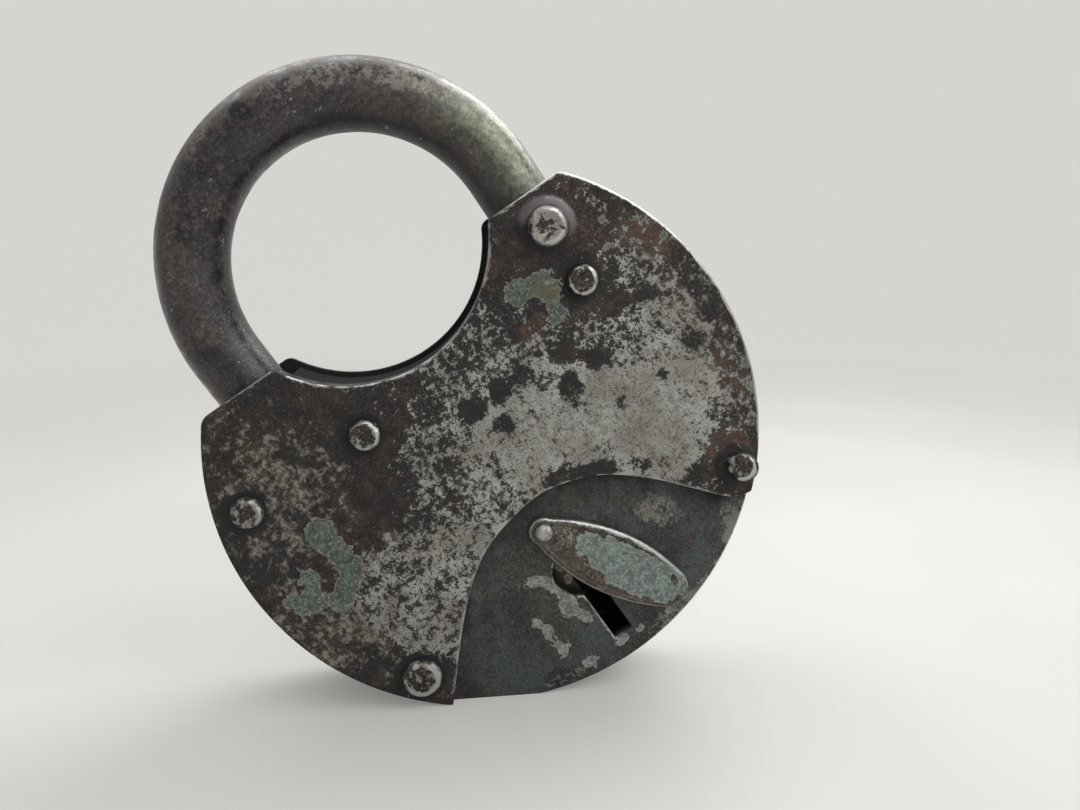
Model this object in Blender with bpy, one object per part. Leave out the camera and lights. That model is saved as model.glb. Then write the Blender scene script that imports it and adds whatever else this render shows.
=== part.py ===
"""Old round plate padlock, closed, standing on the worn flat of its rim.

Lock frame: X to the right, Z up along the lock's own axis, Y into the lock from the front face.
The origin of that frame is the centre of the round body, on the front face.
One empty carries the frame, leans it to the left and sets the worn flat on the ground.
"""
import math
from collections import namedtuple

import bmesh
import bpy
from mathutils import Matrix, Vector

MM = 0.001

# Fits
GAP = 0.3 * MM
STOP_GAP = 0.5 * MM
PLAY = 0.4 * MM

# Outline of the case plates
BODY_R = 50.0 * MM
HORN_TOP = 33.6 * MM
THROAT_IN_FROM_BAR = 4.7 * MM
THROAT_ABOVE_HORNS = 11.2 * MM
CORNER_R = 1.2 * MM
FLAT_HALF_WIDTH = 9.0 * MM
LEAN = math.radians(34.2)

# Thickness of the case, front to back
FRONT_T = 1.6 * MM
KEY_PLATE_T = 1.85 * MM
CAVITY = 14.5 * MM
BACK_T = 2.0 * MM

# Bands that close the case between the plates
BAND_T = 1.0 * MM
RIM_SET_BACK = 0.15 * MM
THROAT_RECESS = 0.8 * MM

# Shackle
BAR_R = 6.55 * MM
BAR_IN_FROM_RIM = 20.3 * MM
BOW_ABOVE_HORNS = 5.5 * MM
PIVOT_BELOW_HORNS = 6.6 * MM
PIVOT_OFFSET = 0.3 * MM
PIVOT_SHANK_R = 2.6 * MM
TOE_R = 3.4 * MM
TOE_TAPER = 5.5 * MM
TOE_BELOW_NOTCH = 4.5 * MM
SWING = math.radians(75.0)

# Keyhole and the arch that frames it, as points from the keyhole's centre
KEY_X = -0.3 * MM
KEY_ABOVE_RIM = 20.7 * MM
KEYHOLE_R = 5.1 * MM
KEYHOLE_SLOT = 3.9 * MM
KEYHOLE_REACH = 15.9 * MM
ARCH = [(-36.2, -9.4), (-30.1, -2.5), (-23.3, 5.0), (-16.6, 11.2), (-9.6, 15.2), (0.3, 17.3),
        (7.3, 16.4), (13.8, 13.5), (20.3, 8.1), (26.8, 0.6), (30.7, -4.0), (33.5, -5.8), (37.3, -6.5)]

# Keyhole cover
COVER_ABOVE_KEY = 11.0 * MM
COVER_SIDEWAYS = -1.05 * MM
COVER_OPEN = math.radians(28.7)
COVER_LENGTH = 31.1 * MM
COVER_HALF_WIDTH = 6.05 * MM
COVER_WIDEST = 15.5 * MM
COVER_SIDE_R = 37.0 * MM
COVER_TIP = 4.1 * MM
COVER_T = 1.4 * MM
COVER_EDGE = 0.6 * MM
COVER_PIN_R = 1.2 * MM
COVER_HEAD_R = 1.85 * MM
COVER_HEAD_RISE = 1.2 * MM

# Case rivets and the sleeves on them
SHANK_R = 1.8 * MM
SLEEVE_WALL = 0.7 * MM
SUNK_R = 3.2 * MM
SUNK_DEPTH = 1.3 * MM
GUIDE_FROM_LEG = 6.65 * MM
STOP_BELOW_PIVOT = 11.0 * MM
OUTER_FROM_LEG = 4.65 * MM
OUTER_IN_FROM_RIM = 6.0 * MM
LOWER_LEFT_IN_FROM_RIM = 5.1 * MM
LOWER_LEFT_ANGLE = math.radians(218.1)
LOWER_RIGHT_IN_FROM_RIM = 4.0 * MM
LOWER_RIGHT_ANGLE = math.radians(320.7)

# Rivet heads: radius, radius of the worn top, rise; a bent head moves sideways as it rises
HEAD_R = 2.9 * MM
HEAD_TOP_R = 2.1 * MM
HEAD_RISE = 1.6 * MM
PIVOT_HEAD_R = 3.5 * MM
PIVOT_TOP_R = 2.7 * MM
PIVOT_BOSS_R = 5.0 * MM
PIVOT_BOSS_RISE = 0.6 * MM
LOW_HEAD_RISE = 1.2 * MM
WIDE_HEAD_R = 3.7 * MM
BENT_HEAD_R = 2.75 * MM
BENT_TOP_R = 1.5 * MM
BENT_RISE = 2.3 * MM
BENT_BOSS_R = 3.8 * MM
BENT_BOSS_RISE = 0.5 * MM
BENT_LEAN = (0.22, -0.39)
HEAD_PROFILE = [(0.93, 0.72), (1.0, 0.35), (1.0, 0.0)]

# Bolt
BOLT_T = 5.0 * MM
BOLT_BELOW_THROAT = 4.5 * MM
BOLT_HEIGHT = 11.0 * MM
BOLT_THROW = 5.8 * MM
BOLT_END = 3.2 * MM
NOSE_REST_GAP = 0.45 * MM
NOSE_BELOW_TOP = 4.1 * MM
NOSE_ABOVE_TOP = 2.3 * MM
TAIL_WIDTH = 14.0 * MM
TALON_WIDTH = 6.5 * MM
TALON_BITE = 3.4 * MM

# Stud that the bolt runs on
STUD_X = 5.0 * MM
STUD_R = 2.5 * MM
COLLAR_R = 4.6 * MM

# Spring that holds the bolt in either place, and its block
SPRING_T = 0.7 * MM
SPRING_WIDTH = 4.5 * MM
SPRING_LENGTH = 17.5 * MM
SPRING_FROM_TAIL = 3.9 * MM
SPRING_LEFT = 2.2 * MM
SPRING_RIGHT = 2.8 * MM
SPRING_STRAIGHT = 3.0 * MM
SPRING_SET = 0.4 * MM
CATCH_DEPTH = 1.3 * MM
CATCH_HALF_WIDTH = 1.9 * MM
BLOCK_BELOW_BOLT = 4.0 * MM
BLOCK_WIDTH = 8.0 * MM
BLOCK_HEIGHT = 6.0 * MM
SLIT_DEPTH = 5.0 * MM

# Drum that the key turns, and the rings that pass only the right key
DRUM_R = 4.8 * MM
DRUM_FLANGE_R = 6.2 * MM
DRUM_FLANGE_T = 1.3 * MM
DRUM_SLOT_DEPTH = 9.9 * MM
DRUM_POST_R = 1.8 * MM
WARD_T = 1.0 * MM
WARD_FRONT_R = 7.4 * MM
WARD_BACK_R = 9.0 * MM
WARD_HEIGHT = 2.6 * MM
WARD_OPENING = math.radians(22.0)

# Fineness: how far a straight edge may stray from its arc, and the shackle's steps
SAG = 0.05 * MM
BAR_SIDES = 20
BEND_STEP = math.radians(10.0)

# Levels that follow from the thicknesses
KEY_FACE = FRONT_T + GAP
KEY_BACK = KEY_FACE + KEY_PLATE_T
BACK_FACE = KEY_BACK + CAVITY
CASE_BACK = BACK_FACE + BACK_T
INNER_FRONT = KEY_BACK + GAP
INNER_BACK = BACK_FACE - GAP
MID_Y = (KEY_BACK + BACK_FACE) / 2
BOLT_FRONT = MID_Y - BOLT_T / 2
BOLT_BACK = MID_Y + BOLT_T / 2

# Radii and places that follow from the outline
FLAT_DISTANCE = math.sqrt(BODY_R ** 2 - FLAT_HALF_WIDTH ** 2)
FLAT_HALF_ANGLE = math.asin(FLAT_HALF_WIDTH / BODY_R)
DOWN = -math.pi / 2 - LEAN
RIM_BAND_R = FLAT_DISTANCE - RIM_SET_BACK
RIM_BAND_INNER_R = RIM_BAND_R - BAND_T
BOW_R = BODY_R - BAR_IN_FROM_RIM
BOW_Z = HORN_TOP + BOW_ABOVE_HORNS
THROAT_R = BOW_R - THROAT_IN_FROM_BAR
THROAT_Z = HORN_TOP + THROAT_ABOVE_HORNS
THROAT_BAND_R = THROAT_R + THROAT_RECESS
PIVOT_X = BOW_R + PIVOT_OFFSET
PIVOT_Z = HORN_TOP - PIVOT_BELOW_HORNS
LEG_INNER_X = BOW_R - BAR_R
LEG_OUTER_X = BOW_R + BAR_R
KEY_Z = KEY_ABOVE_RIM - BODY_R
KEY_REACH = KEYHOLE_REACH - PLAY
COVER_X = KEY_X + COVER_SIDEWAYS
COVER_Z = KEY_Z + COVER_ABOVE_KEY

# The bolt slides below the throat band and under one rivet's shank, and the spring sits below it
BOLT_TOP = THROAT_Z - THROAT_BAND_R - BAND_T - BOLT_BELOW_THROAT
BOLT_LOW = BOLT_TOP - BOLT_HEIGHT
GUIDE_X = GUIDE_FROM_LEG - LEG_INNER_X
GUIDE_Z = BOLT_TOP + GAP + SHANK_R
NOSE_LOW = BOLT_TOP - NOSE_BELOW_TOP
NOSE_HIGH = BOLT_TOP + NOSE_ABOVE_TOP
TOE_Z = NOSE_LOW - PLAY - TOE_BELOW_NOTCH
STUD_Z = (BOLT_TOP + BOLT_LOW) / 2
TALON_X = KEY_X + BOLT_THROW / 2
SPRING_NOSE_X = TALON_X + TAIL_WIDTH / 2 + SPRING_FROM_TAIL
BOLT_RIGHT = SPRING_NOSE_X + BOLT_THROW + BOLT_END
BLOCK_X = SPRING_NOSE_X + SPRING_LENGTH
BLOCK_Z = BOLT_LOW - BLOCK_BELOW_BOLT

# Colour, roughness and metallic value of each finish
FINISHES = {
    "pitted_steel": ((0.23, 0.21, 0.18), 0.55, 0.8),
    "dark_steel": ((0.10, 0.11, 0.12), 0.5, 0.7),
    "brown_steel": ((0.085, 0.065, 0.05), 0.45, 0.7),
    "worn_rivet": ((0.32, 0.30, 0.27), 0.45, 0.85),
    "painted_cover": ((0.22, 0.25, 0.22), 0.6, 0.2),
    "inner_steel": ((0.14, 0.12, 0.10), 0.6, 0.7),
    "rusty_drum": ((0.12, 0.07, 0.045), 0.75, 0.4),
    "spring_steel": ((0.16, 0.16, 0.17), 0.4, 0.9),
}

Rivet = namedtuple("Rivet", "name place shank_r head_r top_r rise lean boss_r boss_rise sleeve")


def on_rim(angle, inset):
    """Point at an angle of the body's circle, a distance in from the rim."""
    reach = BODY_R - inset
    return reach * math.cos(angle), reach * math.sin(angle)


def beside_leg(from_leg, inset):
    """Point in from the rim on the left, a distance outside the shackle's leg."""
    reach = BODY_R - inset
    x = LEG_OUTER_X + from_leg
    return -x, math.sqrt(reach ** 2 - x ** 2)


RIVETS = [
    Rivet("shackle_pivot_rivet", (PIVOT_X, PIVOT_Z), PIVOT_SHANK_R,
          PIVOT_HEAD_R, PIVOT_TOP_R, HEAD_RISE, (0, 0), PIVOT_BOSS_R, PIVOT_BOSS_RISE, False),
    Rivet("rivet_right_upper", (PIVOT_X, PIVOT_Z - STOP_BELOW_PIVOT), SHANK_R,
          HEAD_R, HEAD_TOP_R, HEAD_RISE, (0, 0), 0, 0, True),
    Rivet("rivet_left_inner", (GUIDE_X, GUIDE_Z), SHANK_R,
          HEAD_R, HEAD_TOP_R, HEAD_RISE, (0, 0), 0, 0, False),
    Rivet("rivet_left_outer", beside_leg(OUTER_FROM_LEG, OUTER_IN_FROM_RIM), SHANK_R,
          HEAD_R, HEAD_TOP_R, LOW_HEAD_RISE, (0, 0), 0, 0, True),
    Rivet("rivet_lower_left", on_rim(LOWER_LEFT_ANGLE, LOWER_LEFT_IN_FROM_RIM), SHANK_R,
          WIDE_HEAD_R, HEAD_TOP_R, LOW_HEAD_RISE, (0, 0), 0, 0, True),
    Rivet("rivet_lower_right", on_rim(LOWER_RIGHT_ANGLE, LOWER_RIGHT_IN_FROM_RIM), SHANK_R,
          BENT_HEAD_R, BENT_TOP_R, BENT_RISE, BENT_LEAN, BENT_BOSS_R, BENT_BOSS_RISE, False),
]
HEAD_FRONT = -max(rivet.boss_rise + GAP + rivet.rise for rivet in RIVETS)


# Outlines

def steps_for(radius, angle):
    """How many straight edges an arc needs to stay within the sag."""
    return max(2, math.ceil(abs(angle) / (2 * math.acos(1 - SAG / radius))))


def arc(centre, radius, start, end):
    """Points of an arc, both ends among them."""
    count = steps_for(radius, end - start)
    angles = [start + (end - start) * i / count for i in range(count + 1)]
    return [(centre[0] + radius * math.cos(a), centre[1] + radius * math.sin(a)) for a in angles]


def circle(centre, radius, sides):
    """Points of a full circle."""
    angles = [2 * math.pi * i / sides for i in range(sides)]
    return [(centre[0] + radius * math.cos(a), centre[1] + radius * math.sin(a)) for a in angles]


def smooth_curve(points, steps):
    """A Catmull-Rom curve through the points, from the second to the last but one."""
    curve = []
    for a, b, c, d in zip(points, points[1:], points[2:], points[3:]):
        for i in range(steps):
            t = i / steps
            curve.append(tuple(
                0.5 * (2 * q + (r - p) * t + (2 * p - 5 * q + 4 * r - s) * t * t
                       + (3 * q - p - 3 * r + s) * t ** 3)
                for p, q, r, s in zip(a, b, c, d)))
    return curve + [points[-2]]


def rounded(before, corner, after, radius):
    """Points that round a corner between two others."""
    corner = Vector(corner)
    one = (Vector(before) - corner).normalized()
    two = (Vector(after) - corner).normalized()
    half = one.angle(two) / 2
    centre = corner + (one + two).normalized() * radius / math.sin(half)
    near, far = (corner + side * radius / math.tan(half) for side in (one, two))
    middle = centre + (corner - centre).normalized() * radius
    return [tuple(near), tuple(middle), tuple(far)]


def plate_outline():
    """The case's outline: a circle with a worn flat, two cut horns and the throat."""
    corner = math.asin(HORN_TOP / BODY_R)
    rim = arc((0, 0), BODY_R, corner, DOWN + FLAT_HALF_ANGLE)
    rim += arc((0, 0), BODY_R, DOWN - FLAT_HALF_ANGLE, -math.pi - corner)
    dip = math.asin((THROAT_Z - HORN_TOP) / THROAT_R)
    throat = arc((0, THROAT_Z), THROAT_R, math.pi + dip, 2 * math.pi - dip)
    points = rounded(throat[-1], rim[0], rim[1], CORNER_R) + rim[1:-1]
    points += rounded(rim[-2], rim[-1], throat[0], CORNER_R)
    points += rounded(rim[-1], throat[0], throat[1], CORNER_R) + throat[1:-1]
    return points + rounded(throat[-2], throat[-1], rim[0], CORNER_R)


def ring_sector(centre, inner, outer, start, end):
    """Outline of a bent strip."""
    return arc(centre, outer, start, end) + arc(centre, inner, end, start)


def stadium(left, right, middle, radius):
    """Outline of a straight slot with round ends."""
    ends = arc((right, middle), radius, -math.pi / 2, math.pi / 2)
    return ends + arc((left, middle), radius, math.pi / 2, 3 * math.pi / 2)


def strip(points, thickness):
    """Outline of a bent leaf, from the line along its middle."""
    sides = ([], [])
    for i, point in enumerate(points):
        before = Vector(points[max(i - 1, 0)])
        after = Vector(points[min(i + 1, len(points) - 1)])
        along = (after - before).normalized()
        across = Vector((-along.y, along.x)) * thickness / 2
        sides[0].append(tuple(Vector(point) + across))
        sides[1].append(tuple(Vector(point) - across))
    return sides[0] + sides[1][::-1]


def cover_outline(inset):
    """The leaf-shaped cover pointing down from its pin, drawn in by an inset."""
    tip_start = COVER_LENGTH - COVER_TIP

    def half_width(along):
        return COVER_HALF_WIDTH - (along - COVER_WIDEST) ** 2 / (2 * COVER_SIDE_R) - inset

    heel, nose = half_width(0), half_width(tip_start)
    steps = 8
    turns = [math.pi * i / steps for i in range(steps + 1)]
    top = [(-heel * math.cos(a), heel * math.sin(a)) for a in turns]
    side = [(half_width(tip_start * i / steps), -tip_start * i / steps) for i in range(1, steps)]
    tip = [(nose * math.cos(a), -tip_start - (COVER_TIP - inset) * math.sin(a)) for a in turns]
    return top + side + tip + [(-x, z) for x, z in side[::-1]]


# Solids

def prism(outline, near, far):
    """An outline in X and Z, pushed from one depth to another."""
    bm = bmesh.new()
    face = bm.faces.new([bm.verts.new((x, near, z)) for x, z in outline])
    pushed = bmesh.ops.extrude_face_region(bm, geom=[face])["geom"]
    moved = [v for v in pushed if isinstance(v, bmesh.types.BMVert)]
    bmesh.ops.translate(bm, verts=moved, vec=(0, far - near, 0))
    return bm


def loft(rings, closed=False):
    """A skin over rings of equal length, with end caps unless the rings close on themselves."""
    bm = bmesh.new()
    loops = [[bm.verts.new(point) for point in ring] for ring in rings]
    if closed:
        loops.append(loops[0])
    for one, two in zip(loops, loops[1:]):
        for i in range(len(one)):
            j = (i + 1) % len(one)
            bm.faces.new((one[i], one[j], two[j], two[i]))
    if not closed:
        bm.faces.new(loops[0][::-1])
        bm.faces.new(loops[-1])
    return bm


def turned(profile, place, hollow=False, lean=(0, 0), seat=0):
    """A profile of radii and depths turned about a line along Y; past its seat it may lean."""
    sides = 2 * steps_for(max(radius for radius, _ in profile), math.pi)
    rings = []
    for radius, depth in profile:
        past = max(0, seat - depth)
        centre = (place[0] + lean[0] * past, place[1] + lean[1] * past)
        rings.append([(px, depth, pz) for px, pz in circle(centre, radius, sides)])
    return loft(rings, closed=hollow)


def joined(*parts):
    """Several loose meshes as one."""
    whole = parts[0]
    for part in parts[1:]:
        mesh = bpy.data.meshes.new("loose")
        part.to_mesh(mesh)
        whole.from_mesh(mesh)
        part.free()
        bpy.data.meshes.remove(mesh)
    return whole


# Scene objects

def clear_scene():
    for existing in list(bpy.data.objects):
        bpy.data.objects.remove(existing)


def make_frame():
    """The empty that stands the lock on its worn flat, centred over the ground."""
    frame = bpy.data.objects.new("lock_frame", None)
    bpy.context.collection.objects.link(frame)
    left = -math.sin(LEAN) * BOW_Z - LEG_OUTER_X
    frame.location = (-(left + BODY_R) / 2, -(HEAD_FRONT + CASE_BACK) / 2, FLAT_DISTANCE)
    frame.rotation_euler = (0, -LEAN, 0)
    return frame


def make_material(name, finish):
    colour, roughness, metallic = FINISHES[finish]
    material = bpy.data.materials.new(name + "_finish")
    material.use_nodes = True
    shader = material.node_tree.nodes["Principled BSDF"]
    shader.inputs["Base Color"].default_value = (*colour, 1)
    shader.inputs["Roughness"].default_value = roughness
    shader.inputs["Metallic"].default_value = metallic
    return material


def add(name, bm, finish=None, origin=None):
    """Make an object of a mesh that is drawn in the lock frame; a moving piece gets its own origin."""
    bmesh.ops.recalc_face_normals(bm, faces=bm.faces)
    mesh = bpy.data.meshes.new(name)
    bm.to_mesh(mesh)
    bm.free()
    mesh.shade_smooth()
    mesh.set_sharp_from_angle(angle=math.radians(35))
    obj = bpy.data.objects.new(name, mesh)
    bpy.context.collection.objects.link(obj)
    obj.parent = FRAME
    if origin:
        mesh.transform(Matrix.Translation(-Vector(origin)))
        obj.location = origin
    if finish:
        mesh.materials.append(make_material(name, finish))
    return obj


def combine(obj, bm, operation):
    """Join a shape to an object or cut it away, with a hidden tool that stays live."""
    tool = add(obj.name + "_" + operation.lower(), bm)
    tool.hide_render = True
    tool.display_type = "WIRE"
    modifier = obj.modifiers.new(operation.lower(), "BOOLEAN")
    modifier.operation = operation
    modifier.object = tool
    return obj


def hole(place, radius, near, far):
    """A round cutter that passes both depths."""
    return turned([(radius, near - GAP), (radius, far + GAP)], place)


def sunk_hole(place, radius):
    """A hole through the back plate for a shank that is hammered flush into a cone."""
    slope = (SUNK_R - radius) / SUNK_DEPTH
    cone = [(radius + GAP, BACK_FACE - GAP), (radius + GAP, CASE_BACK - SUNK_DEPTH),
            (SUNK_R + GAP + slope * GAP, CASE_BACK + GAP)]
    return turned(cone, place)


def flush_end(radius):
    """The hammered end that fills such a hole, as a profile."""
    return [(radius, CASE_BACK - SUNK_DEPTH), (SUNK_R, CASE_BACK)]


# Case

def make_plates():
    """Back plate, keyhole plate and the front plate with its arch."""
    outline = plate_outline()

    back = add("back_plate", prism(outline, BACK_FACE, CASE_BACK), "pitted_steel")
    seats = [(rivet.place, rivet.shank_r) for rivet in RIVETS]
    seats += [((STUD_X, STUD_Z), SHANK_R), ((BLOCK_X, BLOCK_Z), SHANK_R), ((KEY_X, KEY_Z), DRUM_POST_R)]
    combine(back, joined(*(sunk_hole(*seat) for seat in seats)), "DIFFERENCE")

    middle = add("keyhole_plate", prism(outline, KEY_FACE, KEY_BACK), "dark_steel")
    holes = [hole(rivet.place, rivet.shank_r + GAP, KEY_FACE, KEY_BACK) for rivet in RIVETS]
    holes.append(hole((COVER_X, COVER_Z), COVER_PIN_R + GAP, KEY_FACE, KEY_BACK))
    holes.append(prism(keyhole_outline(), KEY_FACE - GAP, KEY_BACK + GAP))
    combine(middle, joined(*holes), "DIFFERENCE")

    front = add("front_plate", prism(outline, 0, FRONT_T), "pitted_steel")
    for rivet in RIVETS:
        if rivet.boss_rise:
            swell = [(rivet.boss_r, FRONT_T / 2), (rivet.boss_r, 0),
                     (rivet.boss_r - rivet.boss_rise, -rivet.boss_rise)]
            combine(front, turned(swell, rivet.place), "UNION")
    holes = [hole(rivet.place, rivet.shank_r + GAP, -rivet.boss_rise, FRONT_T) for rivet in RIVETS]
    holes.append(prism(arch_cutter(), -GAP, FRONT_T + GAP))
    combine(front, joined(*holes), "DIFFERENCE")


def keyhole_outline():
    """A round hole with a slot below it."""
    half = KEYHOLE_SLOT / 2
    side = math.asin(half / KEYHOLE_R)
    around = arc((KEY_X, KEY_Z), KEYHOLE_R, -math.pi / 2 + side, 3 * math.pi / 2 - side)
    end = KEY_Z - KEYHOLE_REACH
    return around + [(KEY_X - half, end), (KEY_X + half, end)]


def arch_cutter():
    """The space under the arch, out past the rim."""
    points = [(KEY_X + x * MM, KEY_Z + z * MM) for x, z in ARCH]
    first = (2 * points[0][0] - points[1][0], 2 * points[0][1] - points[1][1])
    last = (2 * points[-1][0] - points[-2][0], 2 * points[-1][1] - points[-2][1])
    curve = smooth_curve([first] + points + [last], 4)
    return curve + [(curve[-1][0], -2 * BODY_R), (curve[0][0], -2 * BODY_R)]


def make_bands():
    """Rim band and throat band, each ending clear of the shackle's swing."""
    pivot_reach = math.hypot(PIVOT_X, PIVOT_Z)
    pivot_angle = math.atan2(PIVOT_Z, PIVOT_X)
    sweep = math.hypot(LEG_OUTER_X + PIVOT_X, PIVOT_Z - TOE_Z - TOE_TAPER) + STOP_GAP
    opening = (RIM_BAND_INNER_R ** 2 + pivot_reach ** 2 - sweep ** 2) / (2 * RIM_BAND_INNER_R * pivot_reach)
    left_end = pivot_angle + math.acos(opening)
    leg_side = LEG_OUTER_X - PIVOT_X + STOP_GAP
    # The open leg's lower side is a line at a known distance from the pivot
    side_normal = -SWING
    side_offset = PIVOT_X * math.cos(side_normal) + PIVOT_Z * math.sin(side_normal) + leg_side
    right_end = side_normal + math.acos(side_offset / RIM_BAND_R)
    band = ring_sector((0, 0), RIM_BAND_INNER_R, RIM_BAND_R, left_end, right_end + 2 * math.pi)
    add("rim_band", prism(band, INNER_FRONT, INNER_BACK), "brown_steel")

    outer = THROAT_BAND_R + BAND_T
    side = math.acos((LEG_INNER_X - STOP_GAP) / outer)
    band = ring_sector((0, THROAT_Z), THROAT_BAND_R, outer, math.pi + side, 2 * math.pi - side)
    add("throat_band", prism(band, INNER_FRONT, INNER_BACK), "brown_steel")


def make_rivets():
    """Headed rivets through the whole case, with sleeves that keep the plates apart."""
    for rivet in RIVETS:
        seat = -rivet.boss_rise - GAP
        profile = [(rivet.top_r, seat - rivet.rise)]
        profile += [(rivet.head_r * wide, seat - rivet.rise * high) for wide, high in HEAD_PROFILE]
        profile += [(rivet.shank_r, seat)] + flush_end(rivet.shank_r)
        solid = turned(profile, rivet.place, lean=rivet.lean, seat=seat)
        add(rivet.name, solid, "worn_rivet")
        if rivet.sleeve:
            bore = rivet.shank_r + GAP
            sleeve = tube(rivet.place, bore, bore + SLEEVE_WALL, INNER_FRONT, INNER_BACK)
            add(rivet.name.replace("rivet", "spacer"), sleeve, "inner_steel")


def tube(place, inner, outer, near, far):
    """A sleeve about a line along Y."""
    return turned([(inner, near), (outer, near), (outer, far), (inner, far)], place, hollow=True)


# Shackle

def make_shackle():
    """A round bar bent to a bow, with a notched toe on the left and an eye on the right."""
    path = [(-BOW_R, TOE_Z, TOE_R, 0), (-BOW_R, TOE_Z + TOE_TAPER, BAR_R, 0), (-BOW_R, BOW_Z, BAR_R, 0)]
    turns = round(math.pi / BEND_STEP)
    for i in range(1, turns):
        a = math.pi - math.pi * i / turns
        path.append((BOW_R * math.cos(a), BOW_Z + BOW_R * math.sin(a), BAR_R, math.pi - a))
    path.append((BOW_R, BOW_Z, BAR_R, math.pi))
    for i in range(5):
        a = math.pi / 2 * i / 5
        path.append((BOW_R, PIVOT_Z - BAR_R * math.sin(a), BAR_R * math.cos(a), math.pi))
    rings = []
    for x, z, radius, turn in path:
        ring = []
        for u, v in circle((0, 0), radius, BAR_SIDES):
            ring.append((x + u * math.cos(turn), MID_Y + v, z - u * math.sin(turn)))
        rings.append(ring)
    shackle = add("shackle", loft(rings), "brown_steel", origin=(PIVOT_X, MID_Y, PIVOT_Z))
    eye = hole((PIVOT_X, PIVOT_Z), PIVOT_SHANK_R + GAP, MID_Y - 2 * BAR_R, MID_Y + 2 * BAR_R)
    floor = -LEG_INNER_X + NOSE_REST_GAP - BOLT_THROW - STOP_GAP
    side = -LEG_INNER_X + BAR_R
    low, high = NOSE_LOW - PLAY, NOSE_HIGH + PLAY
    notch = prism([(floor, low), (side, low), (side, high), (floor, high)],
                  MID_Y - 2 * BAR_R, MID_Y + 2 * BAR_R)
    combine(shackle, joined(eye, notch), "DIFFERENCE")


# Keyhole cover

def make_cover():
    """A leaf that swings on its rivet over the keyhole, pushed aside."""
    back = KEY_FACE - GAP
    front = back - COVER_T
    rings = []
    for inset, depth in ((0, back), (0, front + COVER_EDGE), (COVER_EDGE, front)):
        ring = []
        for x, z in cover_outline(inset):
            ring.append((COVER_X + x * math.cos(COVER_OPEN) - z * math.sin(COVER_OPEN), depth,
                         COVER_Z + x * math.sin(COVER_OPEN) + z * math.cos(COVER_OPEN)))
        rings.append(ring)
    cover = add("keyhole_cover", loft(rings), "painted_cover", origin=(COVER_X, back, COVER_Z))
    combine(cover, hole((COVER_X, COVER_Z), COVER_PIN_R + GAP, front, back), "DIFFERENCE")

    seat = front - GAP
    top = seat - COVER_HEAD_RISE
    dome = [(COVER_HEAD_R * math.cos(a), seat + (top - seat) * math.sin(a))
            for a in (math.radians(degrees) for degrees in (75, 50, 25, 0))]
    tail = KEY_BACK + GAP
    profile = dome + [(COVER_PIN_R, seat), (COVER_PIN_R, tail), (COVER_HEAD_R, tail),
                      (COVER_HEAD_R, tail + COVER_HEAD_RISE / 2)]
    add("cover_rivet", turned(profile, (COVER_X, COVER_Z)), "worn_rivet")


# Lock works

def make_bolt():
    """A flat bolt: hooked nose at the left, slot for the stud, tail with a talon for the key."""
    nose = -LEG_INNER_X + NOSE_REST_GAP
    heel = GUIDE_X - SHANK_R - STOP_GAP
    tail_left, tail_right = TALON_X - TAIL_WIDTH / 2, TALON_X + TAIL_WIDTH / 2
    talon_left, talon_right = TALON_X - TALON_WIDTH / 2, TALON_X + TALON_WIDTH / 2
    horn = KEY_Z + KEY_REACH - TALON_BITE
    roof = KEY_Z + KEY_REACH + STOP_GAP
    outline = [(nose, NOSE_LOW), (nose, NOSE_HIGH), (heel, NOSE_HIGH), (heel, BOLT_TOP),
               (BOLT_RIGHT, BOLT_TOP), (BOLT_RIGHT, BOLT_LOW)]
    for catch in (SPRING_NOSE_X + BOLT_THROW, SPRING_NOSE_X):
        outline += [(catch + CATCH_HALF_WIDTH, BOLT_LOW), (catch, BOLT_LOW + CATCH_DEPTH),
                    (catch - CATCH_HALF_WIDTH, BOLT_LOW)]
    outline += [(tail_right, BOLT_LOW), (tail_right, horn), (talon_right, horn), (talon_right, roof),
                (talon_left, roof), (talon_left, horn), (tail_left, horn), (tail_left, NOSE_LOW)]
    bolt = add("bolt", prism(outline, BOLT_FRONT, BOLT_BACK), "inner_steel",
               origin=(STUD_X, MID_Y, STUD_Z))
    slot = stadium(STUD_X, STUD_X + BOLT_THROW, STUD_Z, STUD_R + GAP)
    combine(bolt, prism(slot, BOLT_FRONT - GAP, BOLT_BACK + GAP), "DIFFERENCE")

    collar = BOLT_BACK + GAP
    profile = [(STUD_R, INNER_FRONT), (STUD_R, collar), (COLLAR_R, collar), (COLLAR_R, INNER_BACK),
               (SHANK_R, INNER_BACK)] + flush_end(SHANK_R)
    add("bolt_stud", turned(profile, (STUD_X, STUD_Z)), "inner_steel")
    washer = tube((STUD_X, STUD_Z), STUD_R + GAP, COLLAR_R, INNER_FRONT, BOLT_FRONT - GAP)
    add("bolt_collar", washer, "inner_steel")


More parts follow.
